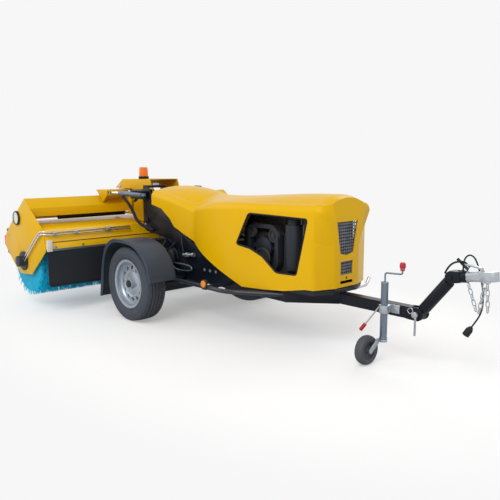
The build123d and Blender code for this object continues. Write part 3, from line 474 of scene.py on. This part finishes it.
def tyreProfile():
    half, depth, slope = roadTyre["grooveHalf"], roadTyre["grooveDepth"], roadTyre["grooveSlope"]
    radius, reach = roadTyre["shoulder"]
    tread = [(radius, -reach)]
    for groove in roadTyre["grooves"]:
        crown = roadTyre["radius"] - roadTyre["crownDrop"] * (groove / reach) ** 2
        tread += [(crown, groove - half), (crown - depth, groove - half + slope),
                  (crown - depth, groove + half - slope), (crown, groove + half)]
    tread.append((radius, reach))
    side = list(roadTyre["sidewall"])
    return side + tread + [(r, -a) for r, a in reversed(side)]


def cutTread(mesh, centre):  # cuts across the ribs, offset from rib to rib
    for vertex in mesh.vertices:
        local = vertex.co - centre
        radius = math.hypot(local.x, local.z)
        across = local.y * 1000
        if radius < treadCut["fromRadius"] / 1000 or abs(across) > treadCut["within"]:
            continue
        step = round(math.atan2(local.z, local.x) / (2 * math.pi) * roadTyre["steps"])
        rib = int((across + treadCut["edge"]) // treadCut["ribWidth"])
        if (step + treadCut["shift"] * rib) % treadCut["pitch"] == 0 and rib != treadCut["plainRib"]:
            scale = (radius - treadCut["depth"] / 1000) / radius
            vertex.co.x = centre.x + local.x * scale
            vertex.co.z = centre.z + local.z * scale


def makeTyre(name, side):
    centre = spot(0, side * roadTyre["track"], roadTyre["radius"])
    mesh = spinMesh(tyreProfile(), centre, (0, 1, 0), roadTyre["steps"])
    cutTread(mesh, centre)
    piece = newPiece(f"road_tyre_{name}", mesh, "tyreRubber", f"wheel_{name}", smooth=roadTyre["smooth"])
    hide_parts(f"tyre_{name}")


for name, side in sides:
    makeTyre(name, side)
print("tyres made")

# Roller brush: a dense root in rings, and thousands of filaments over its whole width, in millimetres
brush = {"x": -1090, "z": 430, "half": 1148, "core": 200, "radius": 325, "ring": 46, "thick": 1.9,
         "count": 25000, "seed": 7, "jitter": (0.01, 0.99), "lean": 0.05, "leanAlong": 0.07,
         "length": (0.95, 1.0), "taper": 0.7, "sides": 3}
brushRoot = {"bore": 30, "valley": 262, "shoulder": 284, "crest": 288, "gap": 266, "shoulderAway": 14,
             "gapAway": 23, "steps": 40}
brushShaft = {"profile": ((0, -1192), (30, -1192), (30, -1150), (76, -1150), (76, -1148.5), (0, -1148.5)),
              "steps": 32}


def linkMath(tree, operation, first, second):
    node = tree.nodes.new("ShaderNodeMath")
    node.operation = operation
    for socket, value in ((node.inputs[0], first), (node.inputs[1], second)):
        if isinstance(value, (int, float)):
            socket.default_value = value
        elif value is not None:
            tree.links.new(value, socket)
    return node.outputs[0]


def paintSpread(tree, spread, start, end):  # instances made real, in the finish given to the tree
    real = tree.nodes.new("GeometryNodeRealizeInstances")
    paint = tree.nodes.new("GeometryNodeSetMaterial")
    tree.links.new(spread.outputs[0], real.inputs[0])
    tree.links.new(real.outputs[0], paint.inputs["Geometry"])
    tree.links.new(start.outputs["Finish"], paint.inputs["Material"])
    tree.links.new(paint.outputs[0], end.inputs[0])


def makeBristleTree():
    tree = bpy.data.node_groups.new("bristleField", "GeometryNodeTree")
    for label, kind, value in (("Count", "NodeSocketInt", 1000), ("Core", "NodeSocketFloat", 0.2),
                               ("Radius", "NodeSocketFloat", 0.3), ("Half Width", "NodeSocketFloat", 1.0),
                               ("Ring Pitch", "NodeSocketFloat", 0.05),
                               ("Thickness", "NodeSocketFloat", 0.002), ("Seed", "NodeSocketInt", 1)):
        tree.interface.new_socket(name=label, in_out="INPUT", socket_type=kind).default_value = value
    tree.interface.new_socket(name="Finish", in_out="INPUT", socket_type="NodeSocketMaterial")
    tree.interface.new_socket(name="Geometry", in_out="OUTPUT", socket_type="NodeSocketGeometry")
    start = tree.nodes.new("NodeGroupInput")
    end = tree.nodes.new("NodeGroupOutput")
    link = tree.links.new

    def random(low, high, salt):  # each use has its own draw
        node = tree.nodes.new("FunctionNodeRandomValue")
        node.data_type = "FLOAT"
        node.inputs[2].default_value = low
        node.inputs[3].default_value = high
        link(linkMath(tree, "ADD", start.outputs["Seed"], salt), node.inputs[8])
        return node.outputs[1]

    points = tree.nodes.new("GeometryNodePoints")
    link(start.outputs["Count"], points.inputs["Count"])
    turn = random(0, 2 * math.pi, 0)
    along = linkMath(tree, "MULTIPLY", random(-1, 1, 1), start.outputs["Half Width"])
    ring = linkMath(tree, "SNAP", along, start.outputs["Ring Pitch"])
    jitter = linkMath(tree, "MULTIPLY", random(*brush["jitter"], 2), start.outputs["Ring Pitch"])
    across = linkMath(tree, "ADD", ring, jitter)
    limited = linkMath(tree, "MINIMUM", across, start.outputs["Half Width"])
    place = tree.nodes.new("ShaderNodeCombineXYZ")
    outward = tree.nodes.new("ShaderNodeCombineXYZ")
    cosine = linkMath(tree, "COSINE", turn, None)
    sine = linkMath(tree, "SINE", turn, None)
    link(linkMath(tree, "MULTIPLY", cosine, start.outputs["Core"]), place.inputs["X"])
    link(limited, place.inputs["Y"])
    link(linkMath(tree, "MULTIPLY", sine, start.outputs["Core"]), place.inputs["Z"])
    lean, leanAlong = brush["lean"], brush["leanAlong"]
    link(linkMath(tree, "ADD", cosine, random(-lean, lean, 3)), outward.inputs["X"])
    link(random(-leanAlong, leanAlong, 4), outward.inputs["Y"])
    link(linkMath(tree, "ADD", sine, random(-lean, lean, 5)), outward.inputs["Z"])
    move = tree.nodes.new("GeometryNodeSetPosition")
    link(points.outputs[0], move.inputs["Geometry"])
    link(place.outputs[0], move.inputs["Position"])
    reach = linkMath(tree, "SUBTRACT", start.outputs["Radius"], start.outputs["Core"])
    cone = tree.nodes.new("GeometryNodeMeshCone")
    cone.fill_type = "NONE"
    cone.inputs["Vertices"].default_value = brush["sides"]
    link(linkMath(tree, "MULTIPLY", start.outputs["Thickness"], brush["taper"]), cone.inputs["Radius Top"])
    link(start.outputs["Thickness"], cone.inputs["Radius Bottom"])
    link(reach, cone.inputs["Depth"])
    aim = tree.nodes.new("FunctionNodeAlignRotationToVector")
    aim.axis = "Z"
    link(outward.outputs[0], aim.inputs["Vector"])
    scale = tree.nodes.new("ShaderNodeCombineXYZ")
    scale.inputs["X"].default_value = 1
    scale.inputs["Y"].default_value = 1
    link(random(*brush["length"], 6), scale.inputs["Z"])
    spread = tree.nodes.new("GeometryNodeInstanceOnPoints")
    link(move.outputs[0], spread.inputs["Points"])
    link(cone.outputs["Mesh"], spread.inputs["Instance"])
    link(aim.outputs[0], spread.inputs["Rotation"])
    link(scale.outputs[0], spread.inputs["Scale"])
    paintSpread(tree, spread, start, end)
    return tree


def setInput(modifier, label, value):
    for item in modifier.node_group.interface.items_tree:
        if item.item_type == "SOCKET" and item.in_out == "INPUT" and item.name == label:
            modifier[item.identifier] = value


def makeFilaments(middle):
    holder = bpy.data.objects.new("bristles", bpy.data.meshes.new("bristles"))
    scene.collection.objects.link(holder)
    field = holder.modifiers.new("field", "NODES")
    field.node_group = makeBristleTree()
    for label, size in (("Core", "core"), ("Radius", "radius"), ("Half Width", "half"),
                        ("Ring Pitch", "ring"), ("Thickness", "thick")):
        setInput(field, label, brush[size] / 1000)
    setInput(field, "Count", brush["count"])
    setInput(field, "Seed", brush["seed"])
    setInput(field, "Finish", finishes["bristleBlue"])
    mesh = bakeShape(holder)
    for vertex in mesh.vertices:
        vertex.co += middle
    newPiece("brush_filaments", mesh, "bristleBlue", "brush")


def rootProfile():  # crests about a ring pitch apart, with a gap after each
    half, away = brush["half"], brushRoot["shoulderAway"]
    profile = [(brushRoot["bore"], -half), (brushRoot["valley"], -half)]
    rings = int(2 * half / brush["ring"])
    for i in range(rings):
        edge = -half + (i + 0.5) * 2 * half / rings
        profile += [(brushRoot["shoulder"], edge - away), (brushRoot["crest"], edge),
                    (brushRoot["shoulder"], edge + away), (brushRoot["gap"], edge + brushRoot["gapAway"])]
    return profile + [(brushRoot["valley"], half), (brushRoot["bore"], half)]


def makeBrush():
    middle = spot(brush["x"], 0, brush["z"])
    makeFilaments(middle)
    mesh = spinMesh(rootProfile(), middle, (0, 1, 0), brushRoot["steps"])
    root = newPiece("brush_root", mesh, "bristleRoot", "brush")
    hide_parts("brush_reel")
    for name, side in sides:
        profile = [(r, -side * a) for r, a in brushShaft["profile"]]
        stub = spinMesh(profile, middle, (0, 1, 0), brushShaft["steps"])
        newPiece(f"brush_stub_{name}", stub, "blackPaint", "brush")


makeBrush()
print("brush made")

# Bolt heads by Geometry Nodes: for each body a size and the places, each with the way that it faces
boltHead = {"sides": 6, "washerSides": 16, "washerWide": 1.5, "washerThick": 0.4}
wheelBolts = {"count": 5, "turn": 1.2566, "circle": 56, "out": 710, "height": 318}


def bothSides(out, places):
    return [((x, side * out, z), (0, side, 0)) for _, side in sides for x, z in places]


def boltCircle(side):
    turns = [k * wheelBolts["turn"] for k in range(wheelBolts["count"])]
    return [((wheelBolts["circle"] * math.cos(turn), side * wheelBolts["out"],
              wheelBolts["height"] + wheelBolts["circle"] * math.sin(turn)), (0, side, 0)) for turn in turns]


boltSets = {
    "chassis": (9, bothSides(305, ((471, 447), (543, 447), (617, 448), (-400, 760)))),
    "wheel_right": (9, boltCircle(-1)),
    "wheel_left": (9, boltCircle(1)),
    "hood": (8, bothSides(1180, ((-700, 705), (-1440, 640), (-1026, 960)))
             + [((-612, y, 598), (1, 0, 0)) for y in (-1090, -830, -420, 0, 420, 830, 1090)]),
    "bonnet": (6, [((1706, y, 470), (1, 0, 0)) for y in (-100, 100)]),
}


def makeBoltTree():
    tree = bpy.data.node_groups.new("boltHeads", "GeometryNodeTree")
    tree.interface.new_socket(name="Geometry", in_out="INPUT", socket_type="NodeSocketGeometry")
    tree.interface.new_socket(name="Size", in_out="INPUT", socket_type="NodeSocketFloat")
    tree.interface.new_socket(name="Finish", in_out="INPUT", socket_type="NodeSocketMaterial")
    tree.interface.new_socket(name="Geometry", in_out="OUTPUT", socket_type="NodeSocketGeometry")
    start = tree.nodes.new("NodeGroupInput")
    end = tree.nodes.new("NodeGroupOutput")
    link = tree.links.new
    facing = tree.nodes.new("GeometryNodeInputNamedAttribute")
    facing.data_type = "FLOAT_VECTOR"
    facing.inputs["Name"].default_value = "facing"
    aim = tree.nodes.new("FunctionNodeAlignRotationToVector")
    aim.axis = "Z"
    link(facing.outputs["Attribute"], aim.inputs["Vector"])
    head = tree.nodes.new("GeometryNodeMeshCylinder")
    head.inputs["Vertices"].default_value = boltHead["sides"]
    link(start.outputs["Size"], head.inputs["Radius"])
    link(start.outputs["Size"], head.inputs["Depth"])
    washer = tree.nodes.new("GeometryNodeMeshCylinder")
    washer.inputs["Vertices"].default_value = boltHead["washerSides"]
    for label, share in (("Radius", "washerWide"), ("Depth", "washerThick")):
        link(linkMath(tree, "MULTIPLY", start.outputs["Size"], boltHead[share]), washer.inputs[label])
    join = tree.nodes.new("GeometryNodeJoinGeometry")
    link(head.outputs["Mesh"], join.inputs[0])
    link(washer.outputs["Mesh"], join.inputs[0])
    spread = tree.nodes.new("GeometryNodeInstanceOnPoints")
    link(start.outputs["Geometry"], spread.inputs["Points"])
    link(join.outputs[0], spread.inputs["Instance"])
    link(aim.outputs[0], spread.inputs["Rotation"])
    paintSpread(tree, spread, start, end)
    return tree


def makeBolts():
    tree = makeBoltTree()
    for body, (size, places) in boltSets.items():
        mesh = bpy.data.meshes.new("bolts")
        mesh.from_pydata([spot(*place) for place, _ in places], [], [])
        facing = mesh.attributes.new("facing", "FLOAT_VECTOR", "POINT")
        for item, (_, direction) in zip(facing.data, places):
            item.vector = direction
        holder = bpy.data.objects.new("bolts", mesh)
        scene.collection.objects.link(holder)
        heads = holder.modifiers.new("heads", "NODES")
        heads.node_group = tree
        setInput(heads, "Size", size / 1000)
        setInput(heads, "Finish", finishes["zincPlate"])
        newPiece(f"bolt_heads_{body}", bakeShape(holder), "zincPlate", body)


makeBolts()
print("bolts made")

# Rigid oil pipes round the right end of the hood, with clamps
pipes = {"radius": 6.5, "gap": 25, "below": (0.5, 0, -0.85), "around": 16, "smooth": 50,
         "route": ((-1060, -1198, 452), (-1030, -1198, 476), (-716, -1198, 724), (-672, -1196, 736),
                   (-646, -1172, 734), (-637, -1130, 728), (-636, -1080, 726), (-636, -330, 726))}
clamps = {"x": -634, "z": 718, "along": (-1085, -885, -564), "half": 18, "neck": 14, "radius": 19,
          "bevel": 3, "steps": 20}


def makePipes():  # the second pipe runs below the first on the front slope
    below = Vector(pipes["below"]) * (pipes["gap"] / 1000)
    for i in range(2):
        path = [spot(*point) + below * i for point in pipes["route"]]
        tube = tubeMesh("pipe", path, pipes["radius"] / 1000, bent=True, around=pipes["around"])
        pipe = newPiece(f"oil_pipe_{i + 1}", tube, "brightSteel", "hood", smooth=pipes["smooth"])


def makeClamps():
    half, neck, radius, bevel = clamps["half"], clamps["neck"], clamps["radius"], clamps["bevel"]
    shape = [(0, -half), (neck, -half), (radius, -half + bevel), (radius, half - bevel), (neck, half),
             (0, half)]
    for k, y in enumerate(clamps["along"]):
        mesh = spinMesh(shape, spot(clamps["x"], y, clamps["z"]), (0, 1, 0), clamps["steps"])
        newPiece(f"pipe_clamp_{k + 1}", mesh, "zincPlate", "hood")


makePipes()
makeClamps()
print("pipes made")

# Hoses, the brake cable and the joint lever, with stiff runs between their ends, as (route, radius, body)
hoses = {
    "ram_hose": (((-628, -400, 1010), (-590, -400, 985), (-540, -385, 940), (-505, -362, 860),
                  (-470, -350, 790), (-410, -344, 756), (-330, -338, 735), (-250, -318, 715)), 14,
                 "lift_arm"),
    "ram_hose_rear": (((-420, -366, 1000), (-440, -372, 975), (-500, -360, 965), (-560, -300, 985),
                       (-600, -215, 1020), (-640, -176, 1040)), 8, "lift_arm"),
    "tower_hose": (((-60, -318, 640), (-70, -345, 600), (-20, -352, 560), (50, -345, 585),
                    (90, -318, 640)), 8, "chassis"),
    "valve_hose": (((60, -330, 500), (66, -338, 560), (100, -342, 588), (134, -338, 560),
                    (140, -330, 500)), 11, "chassis"),
    "tank_hose": (((165, -300, 700), (200, -334, 672), (215, -342, 620), (232, -336, 566)), 9,
                  "chassis"),
    "brake_cable": (((2498, -34, 668), (2514, -38, 700), (2545, -34, 738), (2590, -18, 752),
                     (2622, -6, 744), (2640, 0, 718)), 6, "coupling"),
    "joint_lever": (((2562, -8, 762), (2634, -8, 704)), 9, "coupling"),
}
hoseMesh = {"around": 16, "smooth": 50}
for name, (route, radius, body) in hoses.items():
    path = [spot(*point) for point in route]
    tube = tubeMesh(name, path, radius / 1000, bent=len(path) > 2, around=hoseMesh["around"])
    newPiece(name, tube, "flapRubber", body, smooth=hoseMesh["smooth"])
print("hoses made")

# Turned pieces as (place, axis, profile of radius and length, finish, body, slot)
turned = {
    "clamp_grip": ((1972, -116, 253), (-0.58, -0.1, -0.81),
                   ((0, -4), (10, -4), (12.5, 0), (13, 16), (12, 26), (13.5, 42), (12.5, 54), (0, 56)),
                   "gripRed", "chassis", "black_plastic"),
    "crank_grip": ((2235, -92, 653), (0, 0, 1),
                   ((0, 0), (14, 0), (15, 12), (19.5, 23), (20, 34), (18, 48), (13, 54), (0, 55)),
                   "gripRed", "chassis", "black_plastic"),
    "oil_filter": ((62, -338, 470), (0, 0, 1),
                   ((0, 0), (28, 0), (33, 6), (33, 96), (28, 104), (20, 104), (20, 118), (0, 118)),
                   "blackPlastic", "chassis", "black_plastic"),
    "valve_block": ((222, -332, 548), (1, 0, 0.10),
                    ((0, 0), (14, 0), (14, 40), (20, 42), (20, 70), (12, 72), (12, 120), (18, 122),
                     (18, 150), (0, 150)),
                    "zincPlate", "chassis", "zinc"),
    "motor_port_upper": ((-1060, -1180, 452), (0, -1, 0),
                         ((0, 0), (13, 0), (13, 26), (9, 30), (0, 30)), "zincPlate", "hood", "zinc"),
}
turnedPairs = {  # the same on both sides, with the place on the left and without the axis
    "hub_cap": ((0, 741, 318), ((0, 0), (31, 0), (31, 10), (28, 14), (18, 16), (0, 17)),
                "blackPlastic", "wheel_{side}", "black_plastic"),
    "lamp_ring": ((-1196, 1180, 818), ((57, 0), (66, 0), (66, 12), (60, 20), (54, 18), (57, 14)),
                  "blackPlastic", "hood", "black_plastic"),
    "arm_bolt": ((-1065, 165, 1082), ((0, 0), (17, 0), (17, 6), (12, 12), (0, 12)),
                 "zincPlate", "lift_arm", "zinc"),
}
for stem, ((x, y, z), profile, finish, body, slot) in turnedPairs.items():
    for name, side in sides:
        turned[f"{stem}_{name}"] = ((x, side * y, z), (0, side, 0), profile, finish,
                                    body.format(side=name), slot)
turnedMesh = {"steps": 28, "smooth": 50}
for name, (place, axis, profile, finish, body, slot) in turned.items():
    mesh = spinMesh(profile, spot(*place), axis, turnedMesh["steps"])
    newPiece(name, mesh, finish, body, smooth=turnedMesh["smooth"])
print("turned pieces made")

# Wire rings and frames that close on themselves, as (route, radius, finish, body, slot)
loops = {
    "lock_clip": (((2262, -62, 396), (2284, -66, 420), (2308, -66, 404), (2298, -66, 382),
                   (2276, -62, 372)), 3, "zincPlate", "chassis", "zinc"),
    "valve_frame": (((55, -336, 462), (330, -336, 474), (345, -336, 418), (70, -336, 402)), 6,
                    "tubeSteel", "chassis", "zinc"),
}
loopMesh = {"around": 12, "smooth": 60}
for name, (route, radius, finish, body, slot) in loops.items():
    path = [spot(*point) for point in route]
    ring = tubeMesh(name, path, radius / 1000, bent=True, closed=True, around=loopMesh["around"])
    newPiece(name, ring, finish, body, smooth=loopMesh["smooth"])


def boxMesh(low, high):
    build = bmesh.new()
    bmesh.ops.create_cube(build, size=1)
    for vertex in build.verts:
        vertex.co = [(high[k] - low[k]) * vertex.co[k] + (high[k] + low[k]) / 2 for k in range(3)]
    mesh = bpy.data.meshes.new("box")
    build.to_mesh(mesh)
    build.free()
    return mesh


# Flat trim as (low corner, high corner, finish, body, slot)
trim = {
    # A thin black strip at the brush cover's fold: a painted shadow line under the fold, not a part
    "cover_seam": ((-617, -1172, 640), (-609, 1172, 645), "flapRubber", "hood", "rubber"),
    "flap_strip": ((-615, -1160, 566), (-610, 1160, 584), "tubeSteel", "hood", "zinc"),
    "tower_bracket": ((-425, -305, 1097), (-335, -120, 1118), "blackPaint", "chassis", "black_steel"),
    "tower_fitting": ((-398, -215, 1118), (-368, -165, 1136), "zincPlate", "chassis", "zinc"),
    "tail_bar_right": ((-1524, -1146, 440), (-1515, -1094, 690), "blackPlastic", "hood", "black_plastic"),
    "tail_bar_left": ((-1524, 1094, 440), (-1515, 1146, 690), "blackPlastic", "hood", "black_plastic"),
}
for name, (low, high, finish, body, slot) in trim.items():
    newPiece(name, boxMesh(spot(*low), spot(*high)), finish, body)

# Rubber buffers beside the rear lamps
buffers = {"profile": ((0, 0), (9, 0), (9, 22), (22, 26), (22, 46), (16, 52), (0, 52)), "behind": -1522,
           "out": 1120, "heights": (462, 668), "steps": 24}
for name, side in sides:
    for i, z in enumerate(buffers["heights"]):
        place = spot(buffers["behind"], side * buffers["out"], z)
        knob = spinMesh(buffers["profile"], place, (-1, 0, 0), buffers["steps"])
        newPiece(f"tail_buffer_{name}_{i + 1}", knob, "flapRubber", "hood")
print("trim made")

# Rolled bead along the outer edge of each mudguard
bead = {"radius": 8, "out": 797, "steps": 6, "around": 16, "smooth": 60,
        "line": ((-380, 162), (-340, 420), (-280, 590), (-180, 672), (-50, 692), (105, 686), (230, 645),
                 (350, 540), (404, 388))}


def smoothPath(points, steps):  # a curve through the points
    ends = [points[0] * 2 - points[1]] + points + [points[-1] * 2 - points[-2]]
    path = []
    for a, b, c, d in zip(ends, ends[1:], ends[2:], ends[3:]):
        for k in range(steps):
            t = k / steps
            path.append(0.5 * (b * 2 + (c - a) * t + (a * 2 - b * 5 + c * 4 - d) * t * t
                               + (b * 3 - a - c * 3 + d) * t ** 3))
    return path + [points[-1]]


for name, side in sides:
    path = smoothPath([spot(x, side * bead["out"], z) for x, z in bead["line"]], bead["steps"])
    tube = tubeMesh("bead", path, bead["radius"] / 1000, around=bead["around"])
    edge = newPiece(f"mudguard_bead_{name}", tube, "guardPlasticPaintedSheen", "chassis", smooth=bead["smooth"])

# Belt pulleys that show through the right window, as (x, z, radius)
belt = {"pulleys": ((1110, 620, 78), (1235, 800, 50), (1000, 815, 44)), "face": -246, "width": 18,
        "groove": 8, "web": 8, "boss": 22, "shares": (0.8, 0.75, 0.3, 0.28), "steps": 40}


def pulleyProfile(radius):
    width, web, boss = belt["width"], belt["web"], belt["boss"]
    rimInside, webOuter, webInner, bossRadius = [radius * share for share in belt["shares"]]
    return [(0, 0), (radius, 0), (radius - belt["groove"], width / 2), (radius, width), (rimInside, width),
            (webOuter, web), (webInner, web), (bossRadius, boss), (0, boss)]


for i, (x, z, radius) in enumerate(belt["pulleys"]):
    mesh = spinMesh(pulleyProfile(radius), spot(x, belt["face"], z), (0, -1, 0), belt["steps"])
    newPiece(f"belt_pulley_{i + 1}", mesh, "engineCast", "chassis")
print("beads and pulleys made")


# Studio: the floor fades into a plain white surround
studio = {"floorSize": 60, "floorTone": (0.66, 0.66, 0.66, 1), "floorRough": 0.9, "floorGlow": 0.32,
          "fadeStart": 1.2, "fadeEnd": 2.2, "squash": (0.62, 1.0, 1.0), "white": 0.93, "worldLight": 0.55,
          "lampsAim": (0, 0, 0.5),
          "lamps": {"key": ((3.6, -6.5, 7.2), 5.5, 490), "fill": ((-4.5, -4.0, 3.5), 4.0, 60),
                    "rim": ((0.0, 5.0, 4.0), 4.0, 110)}}  # each as (place, size in metres, watts)


def makeFloor():
    bpy.ops.mesh.primitive_plane_add(size=studio["floorSize"])
    floor = bpy.context.object
    floor.name = "floor"
    material = bpy.data.materials.new("floorWhite")
    material.use_nodes = True
    nodes, links = material.node_tree.nodes, material.node_tree.links
    shader = nodes["Principled BSDF"]
    shader.inputs["Base Color"].default_value = studio["floorTone"]
    shader.inputs["Roughness"].default_value = studio["floorRough"]
    shader.inputs["Emission Color"].default_value = (1, 1, 1, 1)
    rays = nodes.new("ShaderNodeLightPath")
    glow = nodes.new("ShaderNodeMath")
    glow.operation = "MULTIPLY"
    glow.inputs[1].default_value = studio["floorGlow"]
    links.new(rays.outputs["Is Camera Ray"], glow.inputs[0])
    links.new(glow.outputs[0], shader.inputs["Emission Strength"])
    place = nodes.new("ShaderNodeTexCoord")
    squash = nodes.new("ShaderNodeVectorMath")
    squash.operation = "MULTIPLY"
    squash.inputs[1].default_value = studio["squash"]
    reach = nodes.new("ShaderNodeVectorMath")
    reach.operation = "LENGTH"
    far = nodes.new("ShaderNodeMapRange")
    far.interpolation_type = "SMOOTHSTEP"
    far.inputs["From Min"].default_value = studio["fadeStart"]
    far.inputs["From Max"].default_value = studio["fadeEnd"]
    plain = nodes.new("ShaderNodeEmission")
    plain.inputs["Strength"].default_value = studio["white"]
    mix = nodes.new("ShaderNodeMixShader")
    links.new(place.outputs["Object"], squash.inputs[0])
    links.new(squash.outputs[0], reach.inputs[0])
    links.new(reach.outputs["Value"], far.inputs["Value"])
    links.new(far.outputs["Result"], mix.inputs[0])
    links.new(shader.outputs[0], mix.inputs[1])
    links.new(plain.outputs[0], mix.inputs[2])
    links.new(mix.outputs[0], nodes["Material Output"].inputs["Surface"])
    floor.data.materials.append(material)


def makeWorld():  # white to the camera and in metal and glass, and dimmer as light
    world = bpy.data.worlds.new("studio")
    world.use_nodes = True
    scene.world = world
    nodes, links = world.node_tree.nodes, world.node_tree.links
    background = nodes["Background"]
    rays = nodes.new("ShaderNodeLightPath")
    seen = nodes.new("ShaderNodeMath")
    seen.operation = "MAXIMUM"
    mirrored = nodes.new("ShaderNodeMath")
    mirrored.operation = "MAXIMUM"
    strength = nodes.new("ShaderNodeMapRange")
    strength.inputs["To Min"].default_value = studio["worldLight"]
    strength.inputs["To Max"].default_value = studio["white"]
    links.new(rays.outputs["Is Camera Ray"], seen.inputs[0])
    links.new(rays.outputs["Is Transmission Ray"], seen.inputs[1])
    links.new(seen.outputs[0], mirrored.inputs[0])
    links.new(rays.outputs["Is Glossy Ray"], mirrored.inputs[1])
    links.new(mirrored.outputs[0], strength.inputs["Value"])
    links.new(strength.outputs["Result"], background.inputs["Strength"])
    background.inputs["Color"].default_value = (1, 1, 1, 1)


def makeLamps():
    for name, (place, size, power) in studio["lamps"].items():
        data = bpy.data.lights.new(name, "AREA")
        data.size = size
        data.energy = power
        lamp = bpy.data.objects.new(name, data)
        lamp.location = place
        way = Vector(studio["lampsAim"]) - Vector(place)
        lamp.rotation_euler = way.to_track_quat("-Z", "Y").to_euler()
        scene.collection.objects.link(lamp)


makeFloor()
makeWorld()
makeLamps()
print("studio made")
